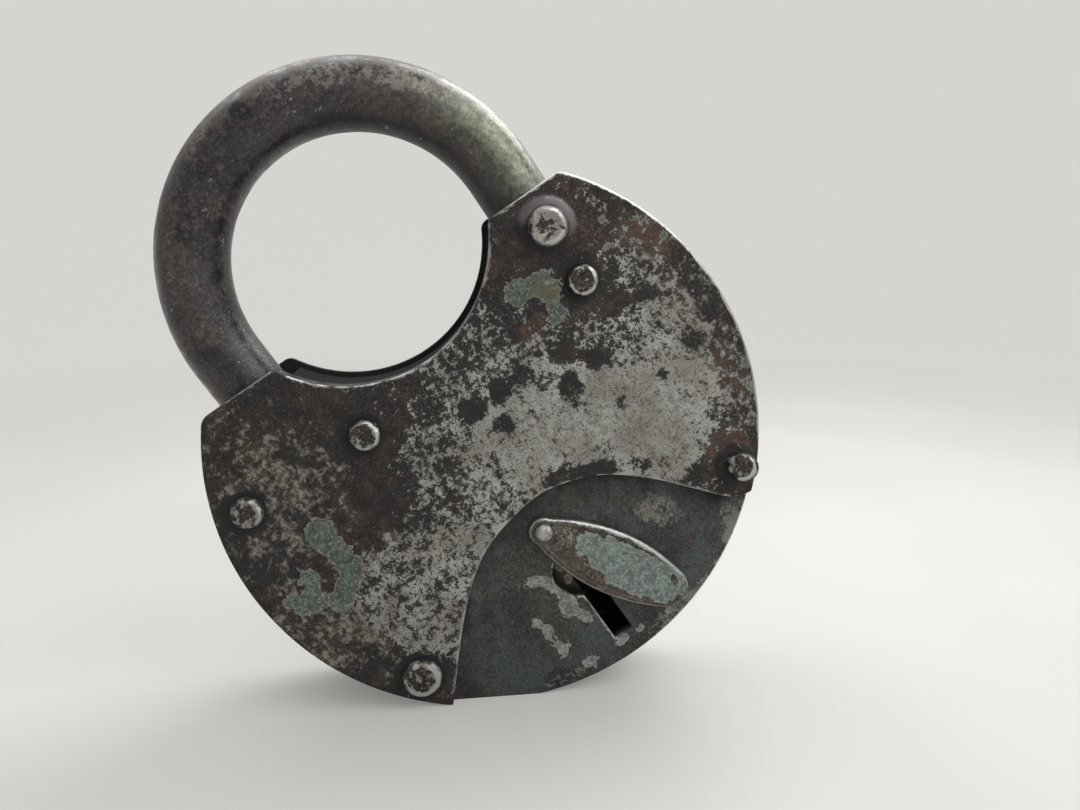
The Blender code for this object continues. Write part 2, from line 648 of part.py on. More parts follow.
def make_spring():
    """A leaf with a bent nose that drops into one of the bolt's two catches, and its block."""
    slope = CATCH_DEPTH / CATCH_HALF_WIDTH
    nose_z = BOLT_LOW + CATCH_DEPTH - SPRING_T / 2 - STOP_GAP
    end = BLOCK_X - BLOCK_WIDTH / 2
    slit_end = end + SLIT_DEPTH
    line = [(SPRING_NOSE_X - SPRING_LEFT, nose_z - SPRING_LEFT * slope), (SPRING_NOSE_X, nose_z),
            (SPRING_NOSE_X + SPRING_RIGHT, nose_z - SPRING_RIGHT * slope),
            (end - SPRING_STRAIGHT, BLOCK_Z + SPRING_SET), (end, BLOCK_Z), (slit_end - GAP, BLOCK_Z)]
    leaf = prism(strip(line, SPRING_T), MID_Y - SPRING_WIDTH / 2, MID_Y + SPRING_WIDTH / 2)
    add("bolt_spring", leaf, "spring_steel")

    half = SPRING_T / 2 + GAP
    top, bottom = BLOCK_Z + BLOCK_HEIGHT / 2, BLOCK_Z - BLOCK_HEIGHT / 2
    right = end + BLOCK_WIDTH
    outline = [(end, bottom), (right, bottom), (right, top), (end, top), (end, BLOCK_Z + half),
               (slit_end, BLOCK_Z + half), (slit_end, BLOCK_Z - half), (end, BLOCK_Z - half)]
    block = add("spring_block", prism(outline, BOLT_FRONT, INNER_BACK), "inner_steel")
    tenon = [(SHANK_R, INNER_BACK - BACK_T)] + flush_end(SHANK_R)
    combine(block, turned(tenon, (BLOCK_X, BLOCK_Z)), "UNION")


def make_drum():
    """The slotted drum behind the keyhole, its post and the two ring wards round it."""
    back = INNER_BACK - GAP
    profile = [(DRUM_FLANGE_R, INNER_FRONT), (DRUM_FLANGE_R, INNER_FRONT + DRUM_FLANGE_T),
               (DRUM_R, INNER_FRONT + DRUM_FLANGE_T), (DRUM_R, back)]
    drum = add("key_drum", turned(profile, (KEY_X, KEY_Z)), "rusty_drum", origin=(KEY_X, MID_Y, KEY_Z))
    half = KEYHOLE_SLOT / 2
    slot_end = INNER_FRONT + DRUM_SLOT_DEPTH
    slot = prism([(KEY_X - half, KEY_Z - 2 * DRUM_FLANGE_R), (KEY_X + half, KEY_Z - 2 * DRUM_FLANGE_R),
                  (KEY_X + half, KEY_Z + half), (KEY_X - half, KEY_Z + half)], INNER_FRONT - GAP, slot_end)
    post_front = slot_end + STOP_GAP + 2 * GAP
    bore = hole((KEY_X, KEY_Z), DRUM_POST_R + GAP, post_front, back)
    combine(drum, joined(slot, bore), "DIFFERENCE")

    post = [(DRUM_POST_R, post_front)] + flush_end(DRUM_POST_R)
    add("drum_post", turned(post, (KEY_X, KEY_Z)), "inner_steel")

    for name, radius, near, far in (
            ("ward_ring_front", WARD_FRONT_R, INNER_FRONT, INNER_FRONT + WARD_HEIGHT),
            ("ward_ring_back", WARD_BACK_R, INNER_BACK - WARD_HEIGHT, INNER_BACK)):
        ring = ring_sector((KEY_X, KEY_Z), radius, radius + WARD_T,
                           -math.pi / 2 + WARD_OPENING, 3 * math.pi / 2 - WARD_OPENING)
        add(name, prism(ring, near, far), "inner_steel")


clear_scene()
FRAME = make_frame()
make_plates()
make_bands()
make_rivets()
make_shackle()
make_cover()
make_bolt()
make_spring()
make_drum()
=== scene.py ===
# %% [markdown]
# # An old round plate padlock
#
# The real lock is cut from thick sheet: a front plate with a flat arch over the keyhole, a keyhole plate
# behind it and a back plate, held apart by bent bands and riveted together. A thick bow closes over the
# throat. Decades of rust, handling and one coat of paint made its finish.
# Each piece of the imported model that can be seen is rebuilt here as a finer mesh, at the same place, and
# each gets a finish made of nodes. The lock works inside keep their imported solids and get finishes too.

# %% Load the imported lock
import math

import bmesh
import bpy
from mathutils import Matrix, Vector, kdtree, noise


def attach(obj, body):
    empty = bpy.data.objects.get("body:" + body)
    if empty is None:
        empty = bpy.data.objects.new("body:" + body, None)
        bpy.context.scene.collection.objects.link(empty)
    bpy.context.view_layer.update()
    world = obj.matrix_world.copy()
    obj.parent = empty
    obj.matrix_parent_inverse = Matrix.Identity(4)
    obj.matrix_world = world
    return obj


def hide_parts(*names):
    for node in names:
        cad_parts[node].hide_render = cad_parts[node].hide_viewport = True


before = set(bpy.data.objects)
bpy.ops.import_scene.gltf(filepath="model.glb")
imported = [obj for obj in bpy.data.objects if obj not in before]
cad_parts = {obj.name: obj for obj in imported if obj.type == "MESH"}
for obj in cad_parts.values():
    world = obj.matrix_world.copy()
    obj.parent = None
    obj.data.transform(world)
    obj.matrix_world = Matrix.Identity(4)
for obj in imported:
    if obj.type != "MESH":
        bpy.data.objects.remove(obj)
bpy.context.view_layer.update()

# %% [markdown]
# ## The lock's own frame
#
# The lock stands on a worn flat of its rim, leaning to the left, so nothing on it is square to the world.
# Each piece is therefore drawn in the lock's own frame, in millimetres: x to the right, z up the lock's
# axis, y into the lock from its front face. One matrix then puts the mesh in its place, and the object
# itself stays at the origin. That way every measure below is one that a ruler on the lock would give.

# %% The frame and the main measures
BODY_R = 50.0
FLAT_HALF = 9.0
STAND = math.sqrt(BODY_R ** 2 - FLAT_HALF ** 2)
LEAN = math.radians(34.2)
FRAME_X, FRAME_Y = 4.1137, -8.575
LOCK = (Matrix.Translation((FRAME_X / 1000, FRAME_Y / 1000, STAND / 1000))
        @ Matrix.Rotation(-LEAN, 4, "Y") @ Matrix.Scale(0.001, 4))
DOWN = -math.pi / 2 - LEAN

HORN_TOP, THROAT_Z, THROAT_R = 33.6, 44.8, 25.0
BOW_R, BOW_Z = 29.7, 39.1
PIVOT = (30.0, 27.0)
KEY = (-0.3, -29.3)
COVER_PIN = (-1.35, -18.3)
FRONT_T, KEY_FACE, KEY_BACK, BACK_FACE, BACK_END = 1.6, 1.9, 3.75, 18.25, 20.25
BAND_FRONT, BAND_END, MID_Y = 4.05, 17.95, 11.0
print("the lock's centre is at", [round(v * 1000, 2) for v in LOCK.to_translation()], "mm")

# %% [markdown]
# ## From a bmesh to a piece of the lock
#
# A finished piece needs its normals outwards, soft shading with hard edges kept, and its material. It is also
# hung on the body it moves with, and the imported nodes it stands for are hidden. One helper does this for
# all pieces, so none can be forgotten.

# %% Finish a piece
def finish_piece(name, bm, body, stands_for, material, hard_angle=38):
    bmesh.ops.remove_doubles(bm, verts=bm.verts, dist=0.004)
    bmesh.ops.recalc_face_normals(bm, faces=bm.faces)
    mesh = bpy.data.meshes.new(name)
    bm.to_mesh(mesh)
    bm.free()
    mesh.transform(LOCK)
    mesh.shade_smooth()
    mesh.set_sharp_from_angle(angle=math.radians(hard_angle))
    mesh.materials.append(material)
    piece = bpy.data.objects.new(name, mesh)
    bpy.context.scene.collection.objects.link(piece)
    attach(piece, body)
    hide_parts(*stands_for)
    print(name, "has", len(mesh.polygons), "faces")


# %% [markdown]
# ## Patches of wear
#
# Rust, bare steel and paint lie where hands, rain and the paint brush left them, so a noise pattern alone
# never looks right. The large patches are listed as soft ovals and kept on the mesh as a value at
# each point. The material later breaks their borders up with fine noise.

# %% Soft ovals and values on points
def oval(x, z, cx, cz, rx, rz, turn=0.0):
    """1 in the middle of an oval patch and 0 outside it."""
    c, s = math.cos(math.radians(turn)), math.sin(math.radians(turn))
    u = ((x - cx) * c + (z - cz) * s) / rx
    v = ((z - cz) * c - (x - cx) * s) / rz
    return max(0.0, 1.0 - u * u - v * v)


def patches(x, z, base, ovals):
    """A base value with ovals added; a negative strength takes away."""
    total = base
    for cx, cz, rx, rz, turn, strength in ovals:
        total += strength * min(1.0, 1.3 * oval(x, z, cx, cz, rx, rz, turn))
    return min(1.3, max(-0.3, total))


def underpaint(x, z, marks):
    """The value of the marks near a place, each counting by how near it is."""
    total = share = 1e-6
    for cx, cz, spread, value in marks:
        near = ((x - cx) ** 2 + (z - cz) ** 2) / (0.85 * spread * spread)
        if near < 9.0:
            weight = math.exp(-near)
            share += weight
            total += weight * value
    return total / share


def paint_points(bm, **values):
    """Keep values of x, y and z on each point, each under a name that a material can read."""
    for name, value in values.items():
        layer = bm.verts.layers.float.new(name)
        for vert in bm.verts:
            vert[layer] = value(*vert.co)


def step(value, low, high):
    """A soft step from 0 at one value to 1 at another."""
    t = min(1.0, max(0.0, (value - low) / (high - low)))
    return t * t * (3 - 2 * t)


def rough(x, y, z, size, seed):
    """Smooth noise between about -1 and 1, with bumps of a size in millimetres."""
    return noise.fractal(Vector((x / size + seed, y / size, z / size - seed)), 0.9, 2.1, 3)


# %% [markdown]
# ## Drawing outlines with spin
#
# The plates are flat shapes made of arcs and straight cuts. Typing hundreds of points would hide that, so
# an outline is drawn as a draughtsman does it: set down a point, sweep it round a centre with the spin
# operator, and join straight parts with an edge. The closed loop is filled and extruded to its thickness.

# %% Arcs, lines and a pushed-out outline
def arc(bm, start, centre, angle, facet=2.0):
    """Sweep a point anticlockwise round a centre, a facet of degrees at a time, and return the last."""
    steps = max(2, round(abs(math.degrees(angle)) / facet))
    swept = bmesh.ops.spin(bm, geom=[start], cent=(centre[0], start.co.y, centre[1]), axis=(0, 1, 0),
                           angle=-angle, steps=steps, use_duplicate=False)
    return next(v for v in swept["geom_last"] if isinstance(v, bmesh.types.BMVert))


def line(bm, start, x, z):
    """A straight edge to a new point."""
    end = bm.verts.new((x, start.co.y, z))
    bm.edges.new((start, end))
    return end


def push_out(bm, depth):
    """Fill the closed outline and give it a thickness."""
    face = bmesh.ops.contextual_create(bm, geom=bm.edges[:])["faces"][0]
    pushed = bmesh.ops.extrude_face_region(bm, geom=[face])["geom"]
    moved = [v for v in pushed if isinstance(v, bmesh.types.BMVert)]
    bmesh.ops.translate(bm, verts=moved, vec=(0, depth, 0))
    bmesh.ops.recalc_face_normals(bm, faces=bm.faces)


def turned(place, profile, steps=48):
    """Turn a profile of radius and depth about a line into the lock, as on a lathe."""
    bm = bmesh.new()
    points = [bm.verts.new((place[0] + radius, depth, place[1])) for radius, depth in profile]
    edges = [bm.edges.new(pair) for pair in zip(points, points[1:])]
    bmesh.ops.spin(bm, geom=points + edges, cent=(place[0], 0, place[1]), axis=(0, 1, 0),
                   angle=2 * math.pi, steps=steps, use_merge=True, use_duplicate=False)
    bmesh.ops.remove_doubles(bm, verts=bm.verts, dist=0.001)
    bmesh.ops.recalc_face_normals(bm, faces=bm.faces)
    return bm


# %% [markdown]
# ## Cutting shapes away
#
# Some shapes are cut out of a finished solid, as the smith did it: the arch, the keyhole, the slot in the
# drum. The Boolean modifier does that cleanly. It works on objects, so the helper makes two for a moment,
# reads the result back into a bmesh and throws them away.

# %% Boolean helper
def cut_away(bm, cutter, flat=True):
    """Cut one closed shape out of another; on flat sheet the face is left in one piece."""
    pair = []
    for label, shape in (("solid", bm), ("cutter", cutter)):
        mesh = bpy.data.meshes.new(label)
        shape.to_mesh(mesh)
        shape.free()
        obj = bpy.data.objects.new(label, mesh)
        bpy.context.scene.collection.objects.link(obj)
        pair.append(obj)
    cut = pair[0].modifiers.new("cut", "BOOLEAN")
    cut.operation, cut.solver, cut.object = "DIFFERENCE", "EXACT", pair[1]
    result = bmesh.new()
    result.from_object(pair[0], bpy.context.evaluated_depsgraph_get())
    for obj in pair:
        mesh = obj.data
        bpy.data.objects.remove(obj)
        bpy.data.meshes.remove(mesh)
    if flat:
        bmesh.ops.dissolve_limit(result, angle_limit=math.radians(0.2), verts=result.verts,
                                 edges=result.edges)
    return result


# %% [markdown]
# ## A surface that can be dented
#
# Old plate is never flat: it is dished, pitted and nicked. To dent a face it needs points inside it, so
# evenly spaced planes slice it into a fine grid with bisect_plane. Only the face that is seen is sliced;
# the hidden side stays one large face and costs nothing.

# %% Slice a face into a grid
def slice_grid(bm, is_seen, spacing):
    """Cut the faces that pass a test into squares of a size."""
    bm.normal_update()
    faces = [f for f in bm.faces if is_seen(f)]
    for axis in (Vector((1, 0, 0)), Vector((0, 0, 1))):
        reach = [v.co.dot(axis) for f in faces for v in f.verts]
        at = min(reach) + spacing * 0.53
        while at < max(reach):
            spans = [(f, [v.co.dot(axis) for v in f.verts]) for f in faces]
            near = [f for f, span in spans if min(span) < at < max(span)]
            rest = [f for f, span in spans if not min(span) < at < max(span)]
            geom = near + list({e for f in near for e in f.edges} | {v for f in near for v in f.verts})
            cut = bmesh.ops.bisect_plane(bm, geom=geom, dist=0.002, plane_co=axis * at, plane_no=axis)
            faces = rest + [f for f in set(cut["geom"]) if isinstance(f, bmesh.types.BMFace)]
            at += spacing
    return faces


def dent(bm, depth_at):
    """Move each point in depth by what a function of its place says."""
    for vert in bm.verts:
        vert.co.y += depth_at(vert.co.x, vert.co.y, vert.co.z)


# %% [markdown]
# ## The case outline
#
# All three plates were cut to one outline: a circle, sawn off to two horns, with a round throat between
# them for the bow. The rim is worn flat where the lock stands. The corners were filed, so each gets a small
# bevel of its point.

# %% Outline of the plates
def plate_blank(radius, front, back):
    """The case's outline as a solid between two depths."""
    bm = bmesh.new()
    corner = math.asin(HORN_TOP / radius)
    flat = math.acos(min(1.0, (STAND - 0.004) / radius))
    start = bm.verts.new((radius * math.cos(corner), front, HORN_TOP))
    right = arc(bm, start, (0, 0), DOWN + flat - corner)
    landed = line(bm, right, radius * math.cos(DOWN - flat), radius * math.sin(DOWN - flat))
    left = arc(bm, landed, (0, 0), math.pi * -1 - corner - (DOWN - flat))
    dip = math.asin((THROAT_Z - HORN_TOP) / THROAT_R)
    lip = line(bm, left, -THROAT_R * math.cos(dip), HORN_TOP)
    far_lip = arc(bm, lip, (0, THROAT_Z), math.pi - 2 * dip, facet=4.0)
    bm.edges.new((far_lip, start))
    bmesh.ops.bevel(bm, geom=[start, left, lip, far_lip], affect="VERTICES", offset=1.1, segments=4,
                    profile=0.5, material=-1)
    push_out(bm, back - front)
    return bm


def edges_of_face(bm, depth):
    """The edges round the flat face at a depth."""
    bm.normal_update()
    return [e for e in bm.edges if all(abs(v.co.y - depth) < 0.01 for v in e.verts)
            and any(abs(f.normal.y) < 0.5 for f in e.link_faces)]


def round_edges(bm, depth, width, segments=3):
    """Round off the edges that lie at a depth."""
    bmesh.ops.bevel(bm, geom=edges_of_face(bm, depth), affect="EDGES", offset=width, segments=segments,
                    profile=0.5, material=-1, clamp_overlap=True)


def in_throat(x, z):
    """Whether a place belongs to the throat and not to the rim."""
    return math.hypot(x, z - THROAT_Z) < THROAT_R + 2.8


EDGE_R = BODY_R - 0.03
trial = plate_blank(EDGE_R, 0.0, FRONT_T)
print("case outline:", len(trial.verts) // 2, "points, top of the horns at",
      round(max(v.co.z for v in trial.verts), 2), "mm")
trial.free()

# %% [markdown]
# ## The arch of the front plate
#
# The front plate ends above the keyhole in a flat arch, a curve that was filed by eye. Thirteen points
# follow it, and a smooth curve runs through them. The space below the arch is made as a cutter, and what
# the cutter leaves is the front plate.

# %% The arch as a cutter
ARCH = [(-36.2, -9.4), (-30.1, -2.5), (-23.3, 5.0), (-16.6, 11.2), (-9.6, 15.2), (0.3, 17.3), (7.3, 16.4),
        (13.8, 13.5), (20.3, 8.1), (26.8, 0.6), (30.7, -4.0), (33.5, -5.8), (37.3, -6.5)]


def arch_curve(steps=5):
    """Points of the arch from left to right, in the lock's frame."""
    points = [Vector((KEY[0] + x, KEY[1] + z)) for x, z in ARCH]
    points = [2 * points[0] - points[1]] + points + [2 * points[-1] - points[-2]]
    curve = []
    for before, a, b, after in zip(points, points[1:], points[2:], points[3:]):
        for i in range(steps):
            t = i / steps
            curve.append(0.5 * (2 * a + (b - before) * t + (2 * before - 5 * a + 4 * b - after) * t ** 2
                                + (3 * a - before - 3 * b + after) * t ** 3))
    return curve + [points[-2]]


def arch_cutter():
    """The space under the arch, out past the rim."""
    bm = bmesh.new()
    curve = arch_curve()
    pen = first = bm.verts.new((curve[0].x, -1.0, curve[0].y))
    for place in curve[1:]:
        pen = line(bm, pen, place.x, place.y)
    pen = line(bm, pen, curve[-1].x, -2 * BODY_R)
    pen = line(bm, pen, curve[0].x, -2 * BODY_R)
    bm.edges.new((pen, first))
    push_out(bm, FRONT_T + 2.0)
    return bm


print("the arch rises to z =", round(max(p.y for p in arch_curve()), 2), "mm")

# %% [markdown]
# ## Distance to an edge
#
# Metal wears bright where it is touched, and that is at its edges. To paint that wear the script needs, for
# any point, how far the nearest edge is. A k-d tree answers this quickly from points along the outline.

# %% Distance to the nearest outline
def outline_tree(bm, depth, spacing=0.3):
    """Points along the edges at a depth, for measuring distances to them."""
    places = []
    for edge in edges_of_face(bm, depth):
        a, b = edge.verts[0].co, edge.verts[1].co
        count = max(1, int((b - a).length / spacing))
        places += [a.lerp(b, i / count) for i in range(count)]
    tree = kdtree.KDTree(len(places))
    for i, place in enumerate(places):
        tree.insert((place.x, 0.0, place.z), i)
    tree.balance()
    return tree


def worn(tree, x, z, width):
    """1 at the outline, falling to 0 at a distance."""
    return max(0.0, 1.0 - tree.find((x, 0.0, z))[2] / width)


# %% [markdown]
# ## Building a finish from nodes
#
# A finish is a small tree of nodes: where on the lock a point lies, noise of several sizes, masks made from
# the noise and from the values on the points, and a shader at the end. A few short helpers keep those trees
# readable. The Mapping node turns Object coordinates into the lock's own millimetres, so a noise of size 2
# really is 2 mm across.

# %% Numbers from nodes
def colour(red, green, blue):
    """A colour given as on a paint card, 0 to 255, made linear for the shader."""
    parts = [(c / 255) / 12.92 if c / 255 <= 0.04045 else ((c / 255 + 0.055) / 1.055) ** 2.4
             for c in (red, green, blue)]
    return (*parts, 1.0)


class Nodes:
    """The nodes of one material, with the lock's millimetres as their place."""

    def __init__(self, name):
        self.material = bpy.data.materials.new(name)
        self.material.use_nodes = True
        self.tree = self.material.node_tree
        self.shader = self.tree.nodes["Principled BSDF"]
        seen = self.put("TexCoord").outputs["Object"]
        turn = self.put("Mapping", {"Vector": seen, "Location": LOCK.to_translation(),
                                    "Rotation": (0, -LEAN, 0), "Scale": (0.001, 0.001, 0.001)},
                        vector_type="TEXTURE")
        self.place = turn.outputs["Vector"]

    def put(self, kind, plugs=None, **fields):
        """Add a node, set its fields, and give its inputs values or links."""
        node = self.tree.nodes.new("ShaderNode" + kind)
        for field, value in fields.items():
            setattr(node, field, value)
        self.plug(node, plugs or {})
        return node

    def plug(self, node, plugs):
        for name, value in plugs.items():
            if isinstance(value, bpy.types.NodeSocket):
                self.tree.links.new(value, node.inputs[name])
            else:
                node.inputs[name].default_value = value

    def grain(self, size, detail=4.0, roughness=0.55, distortion=0.0, place=None):
        """Noise with patches of a size in millimetres."""
        node = self.put("TexNoise", {"Vector": place or self.place, "Scale": 1 / size, "Detail": detail,
                                     "Roughness": roughness, "Distortion": distortion})
        return node.outputs["Fac"]

    def sum(self, a, b, factor=1.0):
        """a + b * factor."""
        return self.put("Math", {0: b, 1: factor, 2: a}, operation="MULTIPLY_ADD").outputs[0]

    def add(self, *parts):
        """The parts added up, each times its factor."""
        total = 0.0
        for value, factor in parts:
            total = self.sum(total, value, factor)
        return total

    def most(self, a, b):
        """The larger of two values."""
        return self.put("Math", {0: a, 1: b}, operation="MAXIMUM").outputs[0]

    def between(self, value, low, high, start=0.0, end=1.0):
        """A soft step from start to end as the value passes from low to high."""
        node = self.put("MapRange", {"Value": value, "From Min": low, "From Max": high, "To Min": start,
                                     "To Max": end}, interpolation_type="SMOOTHSTEP")
        return node.outputs["Result"]

    def value(self, name):
        """A value that was laid on the points."""
        return self.put("Attribute", attribute_name=name).outputs["Fac"]


print("a card colour of 128 is", round(colour(128, 128, 128)[0], 3), "to the shader")

# %% [markdown]
# ## Layers of colour
#
# On the numbers stand the layers. A patch is a mask with a ragged border, a mix goes from one colour to
# another, and a stain does so only where the noise is high. Numbers such as how metallic or how rough the
# surface is are blended by the same masks, so a scab of rust is brown, dull and raised all at once.

# %% Colours, relief and the shader
class Finish(Nodes):
    """A material under construction: masks, colours, relief and the shader that gets them."""

    def patch(self, noise, amount, hard, reach):
        """A mask that covers as much of the noise as the amount says."""
        return self.between(self.sum(noise, amount, reach), 0.5 + reach / 2 - hard, 0.5 + reach / 2 + hard)

    def mix(self, share, a, b):
        """Colour a going over to colour b. A colour is a socket, or red, green and blue up to 255."""
        a, b = (colour(*c) if isinstance(c, tuple) else c for c in (a, b))
        node = self.put("Mix", {0: share, 6: a, 7: b}, data_type="RGBA")
        return node.outputs[2]

    def stain(self, base, noise, low, high, share, tone):
        """Cover a share of the base with a tone where the noise passes from low to high."""
        return self.mix(self.between(noise, low, high, 0.0, share), base, tone)

    def blend(self, share, a, b):
        """Value a going over to value b."""
        return self.put("Mix", {0: share, 2: a, 3: b}).outputs[0]

    def bump(self, height, strength, below=None):
        """Relief of up to a tenth of a millimetre, laid over another one if it is given."""
        plugs = {"Height": height, "Strength": strength, "Distance": 0.0001}
        if below:
            plugs["Normal"] = below
        return self.put("Bump", plugs).outputs["Normal"]

    def shade(self, **plugs):
        """Give the shader its inputs."""
        self.plug(self.shader, {name.replace("_", " "): value for name, value in plugs.items()})


def set_all_over(material, **values):
    """Set numbers of the shader that are the same all over the piece."""
    for name, value in values.items():
        material.node_tree.nodes["Principled BSDF"].inputs[name.replace("_", " ")].default_value = value


print("a finish can be laid in layers")

# %% [markdown]
# ## Flakes of old paint
#
# Once the lock had a coat of grey-green paint. Flakes of it are left, creased and pale at their rims, where
# the film lifts. The coat is the last layer of every finish: a mask cuts the flakes out of the noise where
# the points say so, a slightly wider mask gives the rim, and the rim raises the surface a little.

# %% Old paint
def paint_coat(f, base, metal, dull, normal, tones=None):
    """Lay flakes of old paint over a finish, where the points say, and give it all to the shader."""
    dark, light, spark = tones or ((84, 92, 86), (110, 120, 114), (146, 158, 152))
    mid, small, fine = f.grain(2.2, 5.0, 0.6), f.grain(0.8, 5.0, 0.7), f.grain(0.3, 3.0, 0.6)
    noise = f.add((mid, 0.65), (small, 0.35))
    paint = f.patch(noise, f.value("paint"), 0.008, 0.32)
    rim = f.patch(noise, f.sum(f.value("paint"), 0.07), 0.012, 0.32)
    fibre = f.grain(0.55, 5.0, 0.75, 0.6)
    coat = f.mix(f.between(mid, 0.36, 0.64), dark, light)
    coat = f.stain(coat, fibre, 0.5, 0.62, 0.7, spark)
    coat = f.stain(coat, fibre, 0.46, 0.36, 0.75, (62, 66, 60))
    coat = f.stain(coat, fine, 0.6, 0.7, 0.7, (58, 52, 46))
    coat = f.mix(f.value("olive"), coat, f.mix(fibre, (58, 53, 42), (104, 98, 76)))
    base = f.mix(paint, f.mix(rim, base, (140, 140, 126)), coat)
    metal = f.blend(rim, metal, 0.0)
    dull = f.blend(rim, dull, 0.58)
    lift = f.bump(rim, 0.5, below=normal)
    f.shade(Base_Color=base, Metallic=metal, Roughness=dull, Normal=lift)


print("the coat of old paint is laid on last")

# %% [markdown]
# ## Bare sheet and its oxide
#
# The sheet is steel, greyed and pitted by rust that was rubbed off again and again. Two functions paint its
# two states. Bare sheet is pale grey with a fine dark speckle and faint lines where it was brushed. Oxide
# lies on it as black and brown scabs. Each stain covers a share of what lies below, where one of the noises
# is high, so the tones break up at every size.

# %% Bare sheet and oxide
def bare_sheet(f, broad, mid, small, fine):
    """Greyed steel, speckled dark and brushed one way."""
    brushed = f.put("Mapping", {"Vector": f.place, "Rotation": (0, math.radians(28), 0),
                                "Scale": (0.16, 1, 3.2)}).outputs["Vector"]
    lines = f.grain(1.0, 3.0, 0.6, place=brushed)
    steel = f.mix(f.between(broad, 0.38, 0.62), (138, 135, 128), (163, 163, 158))
    steel = f.stain(steel, mid, 0.45, 0.62, 0.5, (112, 106, 97))
    steel = f.stain(steel, small, 0.5, 0.64, 0.6, (84, 78, 72))
    steel = f.stain(steel, fine, 0.54, 0.61, 0.75, (54, 50, 47))
    steel = f.stain(steel, lines, 0.52, 0.75, 0.35, (190, 187, 178))
    stained = f.mix(f.between(small, 0.4, 0.6), (136, 128, 116), (94, 82, 72))
    return f.stain(steel, f.value("soft"), 0.0, 1.0, 0.8, stained)


def oxide_scabs(f, amount, broad, mid, small, fine):
    """Closed oxide, black where it is thin and brown where it is thick."""
    black = f.mix(f.between(small, 0.4, 0.6), (43, 43, 44), (25, 25, 27))
    brown = f.mix(f.between(mid, 0.42, 0.6), (56, 47, 42), (34, 30, 28))
    scabs = f.mix(f.between(f.sum(broad, amount, 0.3), 0.68, 0.9), black, brown)
    scabs = f.stain(scabs, small, 0.52, 0.68, 0.55, (80, 66, 57))
    scabs = f.stain(scabs, fine, 0.54, 0.66, 0.5, (102, 90, 80))
    return f.stain(scabs, fine, 0.46, 0.38, 0.7, (22, 21, 21))


print("bare sheet and oxide scabs can be painted")

# %% [markdown]
# ## Plate finish
#
# The layers are laid like real ones: sheet, scabs of oxide, orange rust by the rivets, black dirt with
# painted shade round the heads, a dull polish with a painted highlight on the swell of the pivot, bright worn
# edges that are partly painted highlight, and paint on top. Each is a mask over the one below.
# The noise gives its border, and the value on the points says how much of the noise it covers. On the left
# of the lock the borders are blurred, so a second, softer mask is blended in there.

# %% Plate finish
def plate_finish(name):
    f = Finish(name)
    broad, mid = f.grain(10.0, 3.0), f.grain(2.8, 6.0, 0.6)
    small, fine = f.grain(1.15, 7.0, 0.7), f.grain(0.42, 4.0, 0.65)
    amount = f.value("oxide")
    crisp = f.patch(f.add((small, 0.48), (mid, 0.28), (fine, 0.24)), amount, 0.024, 0.18)
    blurred = f.patch(f.add((mid, 0.46), (small, 0.42), (fine, 0.12)), amount, 0.06, 0.2)
    scab = f.blend(f.value("soft"), crisp, blurred)
    rust = f.patch(f.add((small, 0.5), (mid, 0.5)), f.value("rust"), 0.07, 0.3)
    rusty = f.mix(f.between(small, 0.4, 0.62), (58, 46, 40), (90, 67, 54))
    rusty = f.stain(rusty, fine, 0.5, 0.7, 0.6, (127, 97, 77))
    # black dirt, with painted shade round the rivet heads and on the walls under the throat
    grime = f.between(f.add((f.value("grime"), 1.0), (small, 0.5), (fine, 0.25)), 0.62, 1.08)
    # painted highlight: the lit upper right of the pivot's swell, over a faint polish all round
    sheen = f.between(f.add((f.value("sheen"), 1.0), (small, 0.6), (fine, 0.5)), 0.75, 1.35)
    # bright worn edges, partly painted highlight on the lit right rim, the crease and the pivot's swell
    bright = f.between(f.sum(f.value("edge"), small, 0.9), 0.95, 1.3)
    sheet = bare_sheet(f, broad, mid, small, fine)
    base = f.mix(scab, sheet, oxide_scabs(f, amount, broad, mid, small, fine))
    base = f.stain(base, rust, 0.0, 1.0, 0.8, rusty)
    # dirt and painted shade, the painted highlight on the pivot's swell, then the bright edges
    base = f.mix(grime, base, f.mix(small, (25, 25, 27), (44, 43, 45)))
    base = f.mix(sheen, base, (96, 91, 93))
    base = f.mix(bright, base, (178, 177, 173))
    cover = f.most(f.most(scab, rust), grime)
    metal = f.blend(cover, 0.8, 0.2)
    metal = f.blend(bright, f.blend(sheen, metal, 0.5), 0.95)
    dull = f.blend(cover, f.between(small, 0.3, 0.7, 0.38, 0.55), f.between(fine, 0.3, 0.7, 0.55, 0.78))
    dull = f.blend(bright, f.blend(sheen, dull, 0.4), 0.3)
    height = f.add((fine, 1.0), (small, 1.2), (scab, -0.5))
    paint_coat(f, base, metal, dull, f.bump(height, 0.5),
               ((54, 59, 54), (82, 90, 83), (130, 139, 131)))
    return f.material


FRONT_FINISH = plate_finish("worn plate")
set_all_over(FRONT_FINISH, Specular_IOR_Level=0.3)
print("plate finish:", len(FRONT_FINISH.node_tree.nodes), "nodes")

# %% [markdown]
# ## Front plate
#
# This is the face of the lock: 1.6 mm sheet with a filed front edge, swelled up round the pivot rivet and
# the bent rivet, creased near that rivet, pitted all over. All of that is one function that says how far
# the face lies in at each place. The rivets' places are named first, because the swells are round them.

# %% Rivets and swells
RIVET_PLACES = {
    "shackle_pivot_rivet": PIVOT, "rivet_right_upper": (30.0, 16.0),
    "rivet_left_inner": (-16.5, 15.6), "rivet_left_outer": (-40.9, 16.18),
    "rivet_lower_left": (-35.33, -27.70), "rivet_lower_right": (35.60, -29.14),
}
BENT = RIVET_PLACES["rivet_lower_right"]
CREASE, CREASE_R = (33.2, -27.6), 4.6


def crease(x, z, width):
    """1 along the crease by the bent rivet, a short stretch of a circle."""
    off = math.dist((x, z), CREASE) - CREASE_R
    return math.exp(-(off / width) ** 2) * step(x, 34.5, 36.5) * step(z, -29.5, -27.0)


